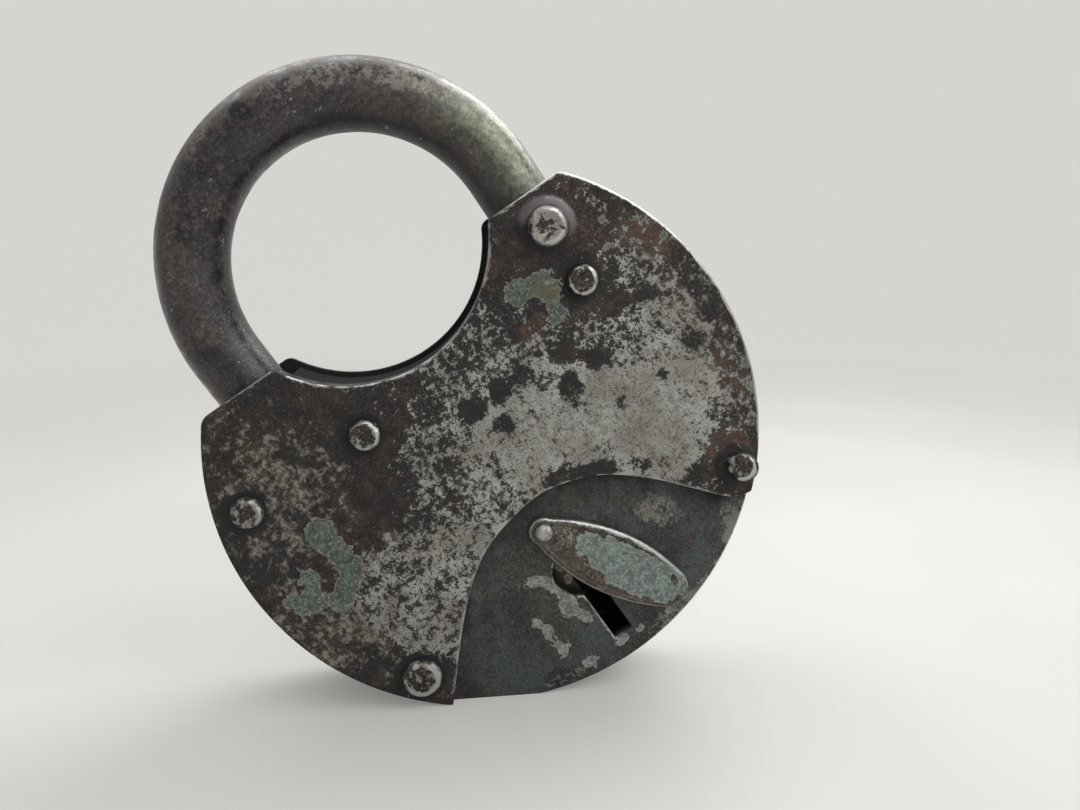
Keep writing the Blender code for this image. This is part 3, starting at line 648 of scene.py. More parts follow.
def front_surface(x, y, z):
    """How far the front plate's face lies in from true, minus being outwards."""
    if y > 0.9:
        return 0.0
    pivot, bent = math.dist((x, z), PIVOT), math.dist((x, z), BENT)
    swell = 0.62 * step(pivot, 5.6, 4.3) + 0.2 * step(pivot, 4.0, 3.0)
    swell += 0.52 * step(bent, 4.3, 3.2) + 0.2 * step(bent, 3.2, 2.4)
    swell += 0.3 * crease(x, z, 0.45)
    dimple = 0.35 * oval(x, z, -36.3, 31.8, 0.9, 0.9) + 0.25 * oval(x, z, -9.1, 12.3, 0.7, 0.7)
    dish = 0.05 * rough(x, 0, z, 13.0, 3.1) + 0.035 * rough(x, 0, z, 3.2, 8.7)
    pits = 0.05 * max(0.0, rough(x, 0, z, 1.5, 5.3) - 0.15)
    return 0.05 + dish + pits + dimple - swell


print(len(RIVET_PLACES), "rivets placed, two of them on a swell")

# %% [markdown]
# ## Where oxide covers the front plate
#
# Most of the sheet was once black with oxide and is rubbed bare in the middle. Marks spread over the plate
# say how much oxide is left near each: 1 is closed black, 0 is bare steel. Between the marks the value
# glides from one to the next, like a map of heights drawn from single soundings.

# %% Oxide on the front plate
# x, z, spread, oxide
OXIDE = [
    (-42, 26, 5, 0.85), (-36, 27, 4, 0.8), (-30, 28, 4, 0.9), (-24, 27, 4, 1.1), (-20, 22, 4, 1),
    (-33, 22, 4, 0.54), (-40, 19, 4, 0.58), (-28, 20, 3, 0.78), (-34, 15, 4, 0.5), (-26, 14, 3, 0.7),
    (-42, 12, 4, 0.68), (-35, 8, 4, 0.62), (-28, 9, 3, 0.8), (-47, 16, 3, 1), (-48, 5, 3, 0.95),
    (-42, 2, 3, 0.75), (-47, -6, 3, 0.72), (-45, -14, 3, 0.56), (-38, -12, 3, 0.5), (-37, 1, 2, 1),
    (-22, 4, 4, 1.15), (-28, 2, 3, 1), (-16, 15, 4, 1.1), (-20, 10, 3, 1), (-12, 17, 3, 0.9),
    (-6, 13, 2, 0.8), (-14, 6, 3, 0.66), (-9, 7, 3, 0.52), (-10, 0, 4, 0.54), (-16, -3, 3, 0.56),
    (-4, 5, 3, 0.45), (-7, -7, 4, 0.48), (-17, -12, 4, 0.4), (-25, -6, 4, 0.5), (-30, -10, 4, 0.5),
    (-24, -16, 4, 0.46), (-32, -17, 4, 0.38), (-28, -24, 4, 0.42), (-39, -20, 3, 0.8), (-34, -29, 3, 1.1),
    (-42, -22, 3, 1), (2, 0, 4, 0.3), (-3, -5, 4, 0.38), (8, 3, 4, 0.28), (7, -6, 4, 0.1), (14, 0, 4, 0.16),
    (20, -3, 4, 0.04), (14, -7, 4, 0.02), (27, -6, 4, 0.08), (22, -12, 4, 0.04), (30, -14, 4, 0.1),
    (36, -10, 4, 0.2), (34, -2, 4, 0.28), (40, -2, 4, 0.38), (38, 4, 4, 0.42), (30, 3, 4, 0.56),
    (24, 6, 3, 0.55), (16, 8, 3, 0.42), (6, 18, 3, 0.66), (11, 19, 3, 0.66), (9, 9, 3, 0.5),
    (0, 10, 3, 0.52), (4, 13, 3, 0.6), (10, 14, 3, 0.58), (44, -8, 3, 0.56), (46, -14, 3, 0.75),
    # the mark at x 42, z 9 is set low, so the sheet near the upper right rim is paler, partly as a painted
    # reflection
    (48, 0, 3, 0.74), (46, 8, 3, 0.8), (42, 9, 3, 0.52), (37, 10, 3, 0.5), (33, 12, 3, 0.8),
    (30, 16, 4, 1.1), (24, 12, 3, 0.8), (17, 17, 3, 0.85), (18, 24, 3, 1), (24, 25, 4, 1.05),
    (30, 26, 5, 1.15), (36, 22, 4, 1), (38, 28, 4, 0.85), (33, 32, 4, 0.95), (41, 18, 3, 0.6),
    (45, 13, 3, 0.74), (37, 15, 3, 0.6), (42, 23, 3, 1), (26, 32, 3, 1), (36, -26, 4, 1),
    (40, -22, 3, 0.58), (33, -20, 3, 0.35), (28, -18, 3, 0.12), (44, -18, 3, 0.52), (31, -26, 3, 0.8),
    (16, -12, 3, 0.4), (8, -11, 3, 0.55), (24, -19, 3, 0.3), (30, -22, 2, 0.1), (27, -22, 2, 0.2),
    (-2, -11, 3, 0.5), (-12, -12, 3, 0.4), (48, -10, 2, 0.8),
]
print(len(OXIDE), "marks of oxide")

# %% [markdown]
# ## Spots, dirt, rust and paint
#
# On top of that lie single patches, each a soft oval: round scabs in the bare field, black dirt in them and
# round the rivet heads, orange rust by the rivets and the rim, and what is left of the old paint. A
# negative strength rubs a hole into a patch.

# %% Patches on the front plate
# x, z, half width, half height, turn in degrees, strength
SPOTS = [
    (1, 8.2, 3.2, 2.6, 10, 0.5), (7.2, 8.2, 3.2, 2.5, 30, 0.5), (4.2, 3, 2.6, 2.3, 0, 0.55),
    (12.1, 8.2, 2.3, 2, 0, 0.4), (18, 1.5, 3.2, 2.9, 0, 0.85), (20.4, 7.2, 3.4, 2.6, -20, 0.5),
    (25, 3, 3, 2.2, 0, 0.55), (33.1, 8.9, 3.2, 2.6, 0, 0.45), (37.8, 7.9, 2.6, 2.2, 0, 0.45),
    (-6, 6, 2.4, 1.8, 0, 0.3), (-9, 3, 2, 1.8, 0, 0.3), (-11, -4, 2.4, 2.8, 0, 0.3),
    (24.2, -6.3, 2.3, 1.1, 15, 0.55), (33.1, -6.5, 1.5, 1.4, 0, 0.5), (40.9, -4.6, 3, 2.6, 0, 0.4),
    (14.5, 4.5, 2.2, 2.2, 0, 0.4), (17.5, -2.2, 2, 1.6, 0, 0.42), (47.1, -4.2, 3.4, 5.5, 0, 0.15),
    (7, -11.6, 4.2, 2, -20, 0.5), (13.8, -14.4, 4.4, 2.2, -32, 0.6), (20.2, -18.2, 3.6, 1.6, -45, 0.5),
    (29.5, -26.6, 4.4, 1.6, -40, 0.35), (-18, -3, 2.4, 2.4, 0, 0.25), (30, 27, 6.4, 6.4, 0, 0.3),
    (30, 16, 5, 5, 0, 0.3), (35.6, -29.1, 5, 5, 0, 0.3), (-40.9, 16.2, 4.6, 4.6, 0, 0.45),
    (-16.5, 15.6, 4.6, 4.6, 0, 0.3), (-35.3, -27.7, 5.4, 5.4, 0, 0.3),
]
BLACK = [
    (1, 8.2, 2.6, 2.2, 0, 0.7), (7, 8.2, 2.8, 2.3, 30, 0.8), (4.2, 3, 2.4, 2, 0, 0.8),
    (18, 1.5, 2.9, 2.5, 0, 0.9), (25, 3, 2.4, 1.8, 0, 0.6), (20.4, 7.2, 3, 2, -20, 0.6),
    (32.5, 11, 3, 2, 0, 0.6), (36.5, 14.5, 2.6, 2, 0, 0.5), (-21, 3, 4.5, 5, 0, 0.7),
    (-10, 16.5, 3.5, 3, 0, 0.5), (13.8, -14.4, 3.4, 1.6, -32, 0.6), (9, 17.5, 3.4, 2, 0, 0.5),
    (41, 4, 2.4, 3, 0, 0.5), (27, 21.5, 5, 2, 0, 0.4), (-27, 8, 3, 2.6, 0, 0.4),
]
RUST = [
    (18.5, 13.8, 4.6, 3, 10, 0.6), (29, 10.6, 8.5, 3, 0, 0.5), (17, 24, 3.4, 3, 0, 0.25),
    (44, 16, 5, 7.5, 15, 0.6), (44.5, -13.5, 4.6, 7.8, 8, 0.45), (35.8, -25.8, 7.5, 6.5, 0, 0.6),
    (34, 30, 9, 5.5, 0, 0.4), (-31, 27, 6, 5, 0, 0.36), (-42, 20, 7, 9, -30, 0.25),
    (37, 20.5, 5, 6.5, 0, 0.45), (-24, 21, 6, 5, -30, 0.35), (-40, 8, 8, 6, 0, 0.2),
    (-45, -10, 5, 12, -15, 0.3), (-36, -31, 8, 6, 0, 0.3), (45, 2, 4, 9, 5, 0.2), (-14, 18, 6, 3, -35, 0.3),
    (25, -22, 6, 3, -45, 0.2),
]
PAINT = [
    (-33.2, 6.2, 3.4, 3, -12, 0.9), (-33.2, 1, 3, 7.2, 8, 0.9), (-35.6, -5.2, 6.2, 2.8, 38, 0.85),
    (-42.6, -3.6, 5.8, 3, -35, 0.72), (-40.1, -0.4, 2.6, 3, 0, 0.62), (-36.8, 1.2, 1.5, 3, 0, -0.9),
    (19.6, 20.4, 3.4, 3, 20, 0.9), (24.2, 18.6, 3.2, 4, 0, 0.7), (23, 13.7, 2.4, 2.3, 0, 0.85),
    (39.3, 24.5, 2, 4.8, -15, 0.4), (36.6, 17.9, 1.9, 1.4, 0, 0.4), (46.4, 14, 1.1, 1.3, 0, 0.6),
    (44.2, 19.5, 0.9, 1.1, 0, 0.5), (46.9, -13.2, 1.1, 2.2, 0, 0.6), (45.2, -17.2, 1, 1.6, 0, 0.6),
    (47.6, -9, 0.8, 1.2, 0, 0.6), (26, 33, 4, 1.2, 0, 0.25),
]
print(len(SPOTS) + len(BLACK) + len(RUST) + len(PAINT), "patches on the front plate")

# %% [markdown]
# ## Cutting and denting the front plate
#
# Now the blank becomes the plate. The arch is cut away, the front edge rounded as by a file, and the face
# sliced and dented. The outline is remembered first, because the wear at the edges is measured from it.

# %% Build the front plate
bm = cut_away(plate_blank(EDGE_R, 0.0, FRONT_T), arch_cutter())
front_tree = outline_tree(bm, 0.0)
round_edges(bm, 0.0, 0.42)
slice_grid(bm, lambda f: f.normal.y < -0.99, 0.62)
dent(bm, front_surface)
print("front plate:", len(bm.faces), "faces before its wear is laid on")

# %% [markdown]
# ## Wear, dirt, painted shade and painted highlights on the front plate
#
# The right rim and the arch are rubbed brightest, the left rim stays dull, and the throat lies between. The
# right rim, the crease and the upper right of the pivot's swell are brighter still as painted highlight. Dirt
# gathers where no cloth reaches, in the corner round each head, and painted shade darkens that corner more on
# the left, at the pivot only on the lower left. The swell round the pivot has a faint purple-grey polish all
# round and a painted highlight on its upper side.

# %% Finish the front plate
RIVET_HEADS = {"shackle_pivot_rivet": 3.5, "rivet_right_upper": 2.9, "rivet_left_inner": 2.9,
               "rivet_left_outer": 2.9, "rivet_lower_left": 3.7, "rivet_lower_right": 2.75}


def front_edge(x, y, z):
    """Worn bright down the right rim and along the arch, dull down the left rim; the right rim, the crease
    and the pivot's swell are brighter still as painted highlight on their lit side.
    """
    rim = math.hypot(x, z) > 47.5
    throat = step(27.5 - math.hypot(x, z - THROAT_Z), 0.0, 1.5)
    # painted highlight: the right rim is made brighter than the left, on the side the light comes from
    if rim and x < 0 and z < 32:
        strength = 0.2
    elif rim:
        strength = 0.55 + 0.45 * step(x, 20.0, 34.0) * step(z, -32.0, -24.0)
    else:
        strength = 0.82 - 0.15 * throat + 0.35 * rough(x, y, z, 1.2, 5.9)
    wear = worn(front_tree, x, z, 1.15 if rim else 1.4)
    # painted highlight: a bright ring on the lit upper right of the pivot's swell, and a bright line along
    # the crease
    swell = math.exp(-((math.dist((x, z), PIVOT) - 4.9) / 0.6) ** 2) * step(x + z, 53.0, 61.0)
    behind = 0.5 if y > 0.6 else 0.0
    return (wear * (strength + 0.35 * rough(x, y, z, 4.0, 2.2)) + 0.55 * swell
            + 0.55 * crease(x, z, 0.3) - behind)


def front_grime(x, y, z):
    """Black dirt in spots and along the lower left rim, and dirt with painted shade in the corner round each
    head, wider on its left and at the pivot only on its lower left.
    """
    amount = 0.35 * step(math.hypot(x, z), 47.6, 49.0) * step(-x, 5.0, 15.0)
    amount = max(amount, patches(x, z, 0.0, BLACK) * (0.75 + 0.8 * rough(x, y, z, 1.3, 9.9)))
    for name, (cx, cz) in RIVET_PLACES.items():
        # painted shade: the dark ring round each head is shifted to the left, and at the pivot kept to the
        # lower left
        gap = math.hypot(x - cx + 0.5, z - cz - 0.2) - RIVET_HEADS[name]
        side = step(cx - x + cz - z, -1.0, 2.0) if name == "shackle_pivot_rivet" else 1.0
        amount = max(amount, 0.9 * side * step(gap + 0.7 * rough(x, y, z, 1.8, 6.1), 1.9, 0.5))
    return min(1.0, amount)


def front_soft(x, y, z):
    """Where the borders of the oxide are blurred: on the left, and a little at the right rim."""
    return max(step(-x, 16.0, 24.0) * step(z, -8.0, 2.0), step(-x, 34.0, 39.0), 0.55 * step(x, 35.0, 43.0))


def pivot_sheen(x, y, z):
    """A faint polish ring on the swell round the pivot, with a painted highlight at its lit upper right."""
    ring = math.exp(-((math.dist((x, z), PIVOT) - 4.4) / 1.0) ** 2)
    return ring * (0.15 + 0.85 * step(x + z, 54.0, 60.0))


paint_points(bm, oxide=lambda x, y, z: patches(x, z, underpaint(x, z, OXIDE), SPOTS), soft=front_soft,
             rust=lambda x, y, z: patches(x, z, -0.05, RUST), edge=front_edge, grime=front_grime,
             paint=lambda x, y, z: patches(x, z, 0.0, PAINT), sheen=pivot_sheen,
             olive=lambda x, y, z: oval(x, z, 23.6, 18.2, 3.6, 3.4, -20))
finish_piece("front_plate_worn", bm, "case", ["front_plate"], FRONT_FINISH)

# %% [markdown]
# ## Old steel
#
# The other pieces wear the same family of finish in different tones: a dark patina of two shades that
# drift into each other, rust in blotches, pale metal where the patina is rubbed through, bright edges, and
# near-black painted shade on walls, in hollows and under heads, with a little dark dirt. Where the points say
# so, it turns yellow-green and brassy, as the bow does low on its right, partly as a painted highlight. One
# function mixes all this, and each piece passes its own tones and puts its own patches on its points.

# %% Old steel finish
def old_steel(name, shade_a, shade_b, rust_a, rust_b, bare, gloss=0.4, metallic=0.6, size=1.0, relief=0.5,
              rub=0.04, tones=None, shine=(176, 175, 170)):
    """Patina of two shades, rust of two shades and bare metal."""
    f = Finish(name)
    # the dark mask: near-black painted shade on walls, in hollows and under heads, with a little dark dirt
    soot = f.value("soot")
    broad, mid = f.grain(9.0 * size, 3.0, 0.55), f.grain(2.6 * size, 6.0, 0.62)
    small, fine = f.grain(1.0 * size, 6.0, 0.7), f.grain(0.4, 4.0, 0.65)
    rust = f.patch(f.add((mid, 0.6), (small, 0.4)), f.value("rust"), 0.14, 0.3)
    rusty = f.mix(f.between(small, 0.4, 0.66), rust_a, rust_b)
    brass = f.mix(f.between(small, 0.4, 0.62), (82, 82, 67), (122, 124, 102))
    rubbed = f.patch(f.add((small, 0.42), (mid, 0.28), (fine, 0.3)), f.value("worn"), rub, 0.3)
    bright = f.between(f.sum(f.value("edge"), small, 0.9), 0.95, 1.3)
    base = f.mix(f.between(f.add((broad, 0.6), (mid, 0.4)), 0.42, 0.58), shade_a, shade_b)
    base = f.stain(base, small, 0.52, 0.72, 0.35, rust_a)
    base = f.stain(base, rust, 0.0, 1.0, 0.75, rusty)
    base = f.stain(base, fine, 0.55, 0.68, 0.4, bare)
    base = f.stain(base, fine, 0.47, 0.39, 0.55, (24, 23, 23))
    base = f.stain(base, small, 0.48, 0.4, 0.35, (30, 29, 29))
    # the brassy mask: a yellow-green tone, partly a painted highlight on the lit outer side of the bow's
    # right leg
    base = f.mix(f.value("brass"), base, brass)
    base = f.stain(base, rubbed, 0.0, 1.0, 0.8, bare)
    base = f.mix(bright, base, shine)
    # near-black painted shade
    base = f.mix(soot, base, (12, 12, 12))
    metal = f.blend(rubbed, f.blend(rust, metallic, 0.15), 0.85)
    metal = f.blend(soot, f.blend(bright, metal, 0.95), 0.0)
    dull = f.blend(rust, f.between(mid, 0.35, 0.65, gloss - 0.07, gloss + 0.1), 0.7)
    dull = f.blend(soot, f.blend(bright, dull, 0.3), 0.95)
    height = f.add((fine, 1.0), (small, 1.3), (rust, 0.5))
    paint_coat(f, base, metal, dull, f.bump(height, relief), tones)
    return f.material


print("the old steel function is ready")

# %% [markdown]
# ## Tones of the pieces
#
# Now each finish is only a choice of tones, two shades, two rusts and the bare metal, and of how glossy and
# how metallic it is. The bow was handled most, so it gets a thin clear coat of grease on top. The strip in
# the throat lies in the dark, so its tones are near black as painted shade, and it hardly mirrors anything.

# %% Tones of old steel
BLUED = old_steel("blued plate", (69, 75, 77), (46, 47, 47), (48, 43, 39), (76, 67, 59), (132, 129, 120),
                  gloss=0.38, metallic=0.55, relief=0.7, rub=0.06,
                  tones=((90, 94, 86), (120, 125, 116), (152, 157, 148)))
PATINA = old_steel("bow patina", (61, 57, 61), (37, 35, 39), (54, 45, 42), (90, 70, 58), (128, 123, 112),
                   gloss=0.27, metallic=0.75, relief=0.35, rub=0.09)
# near-black tones: painted shade of the throat
THROAT = old_steel("throat strip", (32, 34, 32), (20, 21, 21), (32, 29, 26), (44, 39, 34), (60, 57, 52),
                   gloss=0.85, metallic=0.0)
BAND = old_steel("band", (58, 52, 47), (38, 36, 34), (72, 54, 44), (98, 72, 54), (120, 112, 100),
                 gloss=0.5, metallic=0.5)
RIVET = old_steel("hammered rivet", (62, 54, 49), (40, 36, 34), (58, 46, 40), (84, 64, 52),
                  (150, 147, 140), gloss=0.42, metallic=0.65, size=0.7, relief=0.8)
set_all_over(PATINA, Coat_Weight=0.34, Coat_Roughness=0.34)
set_all_over(THROAT, Specular_IOR_Level=0.15)
print("five tones of old steel are mixed")

# %% [markdown]
# ## Keyhole plate
#
# Behind the front plate lies a second sheet that carries the keyhole and the cover. It shows under the
# arch and as a thin line along the rim. The keyhole, a round hole with a slot, is cut out as a smith
# draws it: most of a circle, then two straight sides.

# %% Cut the keyhole
KEYHOLE_R, SLOT_HALF, SLOT_END, KEYHOLE_MIDDLE = 5.1, 1.95, -45.2, -36.0


def keyhole_cutter(front, back):
    """The keyhole as a solid between two depths."""
    bm = bmesh.new()
    side = math.asin(SLOT_HALF / KEYHOLE_R)
    first = bm.verts.new((KEY[0] + SLOT_HALF, front, KEY[1] - KEYHOLE_R * math.cos(side)))
    pen = arc(bm, first, KEY, 2 * math.pi - 2 * side, facet=6.0)
    pen = line(bm, pen, KEY[0] - SLOT_HALF, SLOT_END)
    pen = line(bm, pen, KEY[0] + SLOT_HALF, SLOT_END)
    bm.edges.new((pen, first))
    push_out(bm, back - front)
    return bm


def keyhole_surface(x, y, z):
    """How far the keyhole plate's face lies in from true."""
    if y > KEY_FACE + 0.9:
        return 0.0
    return 0.04 + 0.04 * rough(x, 0, z, 9.0, 1.7) + 0.025 * rough(x, 0, z, 2.2, 4.4)


bm = cut_away(plate_blank(EDGE_R, KEY_FACE, KEY_BACK), keyhole_cutter(KEY_FACE - 1, KEY_BACK + 1))
key_tree = outline_tree(bm, KEY_FACE)
round_edges(bm, KEY_FACE, 0.3)
slice_grid(bm, lambda f: f.normal.y < -0.99, 0.9)
dent(bm, keyhole_surface)
print("keyhole plate:", len(bm.faces), "faces before its wear is laid on")

# %% [markdown]
# ## Patches on the keyhole plate
#
# This sheet kept more of its blue-black skin. Rust creeps over it from the keyhole, the metal is bare in a
# few streaks low on the right, and flakes of paint lie left of the keyhole and along the lower rim.

# %% Patches on the keyhole plate
# x, z, half width, half height, turn in degrees, strength
KEY_PLATE_RUST = [
    (-9, -22, 5, 4, 0, 0.6), (2, -16.5, 14, 3.4, 0, 0.5), (-8, -33, 7, 9, 0, 0.4), (-3, -29, 9, 8, 0, 0.45),
    (6, -41, 7, 4, 0, 0.4), (16, -22, 7, 5, -30, 0.45), (-12, -39.5, 3, 4.5, 0, 0.6),
    (-27, -36, 3, 7, 20, 0.5), (10, -16, 6, 4, 0, 0.6), (24, -22, 9, 3.4, -28, 0.6),
    (-14, -21, 3, 6, -35, 0.5), (-3, -19, 4, 3, 0, 0.5),
]
KEY_PLATE_WORN = [
    (18.5, -28.5, 7, 4.4, -50, 0.64), (27, -29.5, 3, 2.2, -40, 0.45), (29.5, -37, 2.2, 8, -38, 0.55),
    (-10.6, -25, 2.2, 1.4, 20, 0.5), (10, -46.5, 8, 1.6, 10, 0.5), (-14, -46, 8, 1.6, -12, 0.55),
    (5, -43.5, 3, 1.6, 0, 0.4), (34, -33, 2, 3, -40, 0.4),
]
KEY_PLATE_PAINT = [
    (-8.4, -25.9, 1.9, 1.5, 0, 1), (-6.7, -27.4, 1.7, 1.9, 0, 1), (-5.7, -31.2, 1.5, 1.9, 0, 1),
    (-5.8, -34.2, 2.2, 3, -15, 1.1), (-4.3, -37.8, 1.4, 2.5, 15, 1), (-12.9, -32.9, 1.5, 1.2, 0, 1),
    (-11.9, -36, 1.7, 2.4, 0, 0.9), (-12.4, -40.2, 2.2, 2.8, 0, 1), (-13.1, -40.3, 1, 1.6, 0, -1.3),
    (-1.2, -46.2, 2.2, 1.1, 0, 0.9), (2.8, -46.4, 1.5, 1, 0, 0.9), (-8.6, -46.2, 2, 1.5, 0, 1),
    (12.6, -45.6, 1.8, 1.3, 0, 0.9), (9, -46.6, 1.5, 1.1, 0, 0.8), (-6.2, -28.6, 1.4, 1.6, 0, 0.6),
]
print(len(KEY_PLATE_RUST) + len(KEY_PLATE_WORN) + len(KEY_PLATE_PAINT), "patches on the keyhole plate")

# %% [markdown]
# ## Wear, painted highlights and painted shade on the keyhole plate
#
# The keyhole's lip is worn bright, most on its left as a painted highlight, and so is the rim down to the
# right. The walls are painted black as shade, as they lie in the dark. Under the arch a dark line on the face
# is the arch's painted shadow.

# %% Finish the keyhole plate
def near_keyhole(x, z):
    """Whether a place belongs to the keyhole and not to the rim."""
    return math.hypot(x - KEY[0], z - KEYHOLE_MIDDLE) < 12.0


def key_plate_edge(x, y, z):
    """Bright round the keyhole, most on the lip's lit left as painted highlight, and down the right of the
    rim, near the face only.
    """
    # painted highlight on the lit left side of the keyhole's lip
    lit = 0.3 + 0.75 * step(KEY[0] - x, -1.5, 0.0)
    strength = lit if near_keyhole(x, z) else 0.6 + 0.4 * step(x, -5.0, 10.0)
    return worn(key_tree, x, z, 0.8) * strength * (1.0 - step(y, KEY_FACE + 0.3, KEY_FACE + 0.9))


def key_plate_soot(x, y, z):
    """Painted shade: black walls in the throat and the keyhole, and the arch's shadow on the face along it.
    """
    if y > KEY_FACE + 0.4:
        return 0.9 if in_throat(x, z) or near_keyhole(x, z) else 0.0
    return 0.6 * worn(front_tree, x, z, 6.0) * max(0.0, 0.9 + 1.2 * rough(x, y, z, 3.2, 6.6))


def key_plate_worn(x, y, z):
    """Bare metal in streaks, and along the rim on the right."""
    rim = worn(key_tree, x, z, 2.6) * step(x, -6.0, 8.0) * step(math.hypot(x, z), 44.0, 46.0)
    return patches(x, z, -0.1, KEY_PLATE_WORN) + (0.62 + 0.5 * rough(x, y, z, 1.6, 8.1)) * rim


paint_points(bm, edge=key_plate_edge, soot=key_plate_soot, worn=key_plate_worn,
             rust=lambda x, y, z: patches(x, z, 0.25, KEY_PLATE_RUST),
             paint=lambda x, y, z: patches(x, z, -0.1, KEY_PLATE_PAINT))
finish_piece("keyhole_plate_worn", bm, "case", ["keyhole_plate"], BLUED)

# %% [markdown]
# ## Back plate
#
# The back is the same blank in 2 mm sheet. The rivets were hammered flush into it, so round each rivet end
# the sheet is bruised a little lower and the ends stand bright.

# %% Build the back plate
BACK_ENDS = dict(RIVET_PLACES, stud=(5.0, 8.0), block=(31.0, -1.5), post=KEY)


def to_rivet_end(x, z):
    """How far the nearest rivet end is."""
    return min(math.hypot(x - cx, z - cz) for cx, cz in BACK_ENDS.values())


def back_surface(x, y, z):
    """How far the back face lies in from true, bruised round the rivet ends."""
    if y < BACK_FACE + 1.0:
        return 0.0
    bruise = 0.12 * step(to_rivet_end(x, z), 5.5, 3.4)
    return -(0.12 + bruise + 0.06 * rough(x, 0, z, 12.0, 6.6) + 0.03 * rough(x, 0, z, 2.6, 2.9))


bm = plate_blank(EDGE_R, BACK_FACE, BACK_END)
back_tree = outline_tree(bm, BACK_END)
round_edges(bm, BACK_END, 0.5)
slice_grid(bm, lambda f: f.normal.y > 0.99, 0.9)
dent(bm, back_surface)
print(len(BACK_ENDS), "rivet ends are bruised into the back")

# %% [markdown]
# ## Finish of the back plate
#
# The back shares the plate finish. No patch on it is placed by hand: slow noise says where the oxide is
# closed, with more of it near the rim, and where rust and a little paint are left.

# %% Finish the back plate
def back_grime(x, y, z):
    """The wall under the throat black as painted shade, and dirt round each rivet end."""
    if y < BACK_END - 0.4:
        return 1.0 if in_throat(x, z) else 0.0
    return 0.8 * step(to_rivet_end(x, z) + 0.6 * rough(x, 0, z, 1.8, 6.1), 4.4, 3.4)


def back_oxide(x, y, z):
    """Closed near the rim, and drifting elsewhere."""
    return 0.62 + 0.55 * rough(x, 0, z, 24.0, 4.2) + 0.4 * step(math.hypot(x, z), 36.0, 50.0)


paint_points(bm, grime=back_grime, oxide=back_oxide,
             edge=lambda x, y, z: worn(back_tree, x, z, 1.5) * 0.8 if y > BACK_END - 0.7 else 0.0,
             soft=lambda x, y, z: step(rough(x, 0, z, 22.0, 12.3), -0.1, 0.3),
             rust=lambda x, y, z: 0.1 + 0.6 * rough(x, 0, z, 15.0, 7.9),
             paint=lambda x, y, z: -0.5 + 1.1 * rough(x, 0, z, 13.0, 15.1))
finish_piece("back_plate_worn", bm, "case", ["back_plate"], FRONT_FINISH)

# %% [markdown]
# ## Bands between the plates
#
# Two bent strips close the case: one round the rim, one under the throat. A strip's section is a thin
# rectangle, set as a loop of edges across the case. Spin sweeps it round the bend and both ends are filled.

# %% Build the bands
def bent_band(centre, inner, outer, start, angle):
    """A strip between two radii, swept through an angle."""
    bm = bmesh.new()
    bmesh.ops.create_grid(bm, x_segments=1, y_segments=14, size=0.5)
    bmesh.ops.delete(bm, geom=[e for e in bm.edges if not e.is_boundary], context="EDGES")
    middle, width = (inner + outer) / 2, BAND_END - BAND_FRONT
    place = (Matrix.Translation((centre[0], 0, centre[1])) @ Matrix.Rotation(-start, 4, "Y")
             @ Matrix.Translation((middle, (BAND_FRONT + BAND_END) / 2, 0))
             @ Matrix.Diagonal((outer - inner, width, 1, 1)))
    bmesh.ops.transform(bm, matrix=place, verts=bm.verts)
    ends = [bm.edges[:]]
    swept = bmesh.ops.spin(bm, geom=bm.verts[:] + bm.edges[:], cent=(centre[0], 0, centre[1]),
                           axis=(0, 1, 0), angle=-angle, steps=round(math.degrees(angle) / 1.5),
                           use_duplicate=False)["geom_last"]
    ends.append([g for g in swept if isinstance(g, bmesh.types.BMEdge)])
    for loop in ends:
        bmesh.ops.contextual_create(bm, geom=loop)
    for vert in bm.verts:
        away = Vector((vert.co.x - centre[0], 0, vert.co.z - centre[1])).normalized()
        vert.co += away * 0.06 * rough(vert.co.x, vert.co.y, vert.co.z, 9.0, 9.1)
    return bm


# piece, node, centre, inner and outer radius, start and end in degrees, finish
BANDS = [("rim_band_bent", "rim_band", (0, 0), 48.0, 48.93, 143.8, 386.6, BAND),
         ("throat_band_bent", "throat_band", (0, THROAT_Z), 25.9, 26.7, 212.6, 327.4, THROAT)]
for name, node, centre, inner, outer, start, end, finish in BANDS:
    bm = bent_band(centre, inner, outer, math.radians(start), math.radians(end - start))
    on_rim = node == "rim_band"
    paint_points(bm, rust=lambda x, y, z: 0.3 + 0.5 * rough(x, y, z, 12.0, 3.7),
                 worn=lambda x, y, z: 0.5 * rough(x, y, z, 10.0, 8.8) if on_rim else -0.3,
                 # the throat band is blackened as painted shade; the rim band is not
                 soot=lambda x, y, z: 0.0 if on_rim else 0.75,
                 paint=lambda x, y, z: 0.0 if on_rim else -0.6)
    finish_piece(name, bm, "case", [node], finish)
    print(node, "is bent from radius", inner, "to", outer, "mm")

# %% [markdown]
# ## Rivets
#
# Each rivet goes through the whole case: a head in front, a shank, and an end hammered flush at the back.
# A lathe would turn it, so its profile is drawn from the middle of the head to the middle of the end and
# spun round the rivet's own line. The heads were set by hammer, so noise beats shallow marks into them.

# %% Profile of a rivet
def rivet_profile(seat, rise, head, top):
    """Radius and depth from the middle of the head to the middle of the flush end."""
    crown = [(0.0, seat - rise + 0.22), (top * 0.5, seat - rise + 0.18), (top * 0.8, seat - rise + 0.04),
             (top, seat - rise + 0.02), (head * 0.9, seat - rise * 0.8), (head * 0.985, seat - rise * 0.5),
             (head, seat - rise * 0.25), (head * 0.97, seat + 0.25)]
    end = [(1.7, seat + 0.25), (1.7, BACK_END - 1.3), (3.15, BACK_END - 0.1), (2.6, BACK_END - 0.03),
           (0.0, BACK_END - 0.02)]
    return crown + end


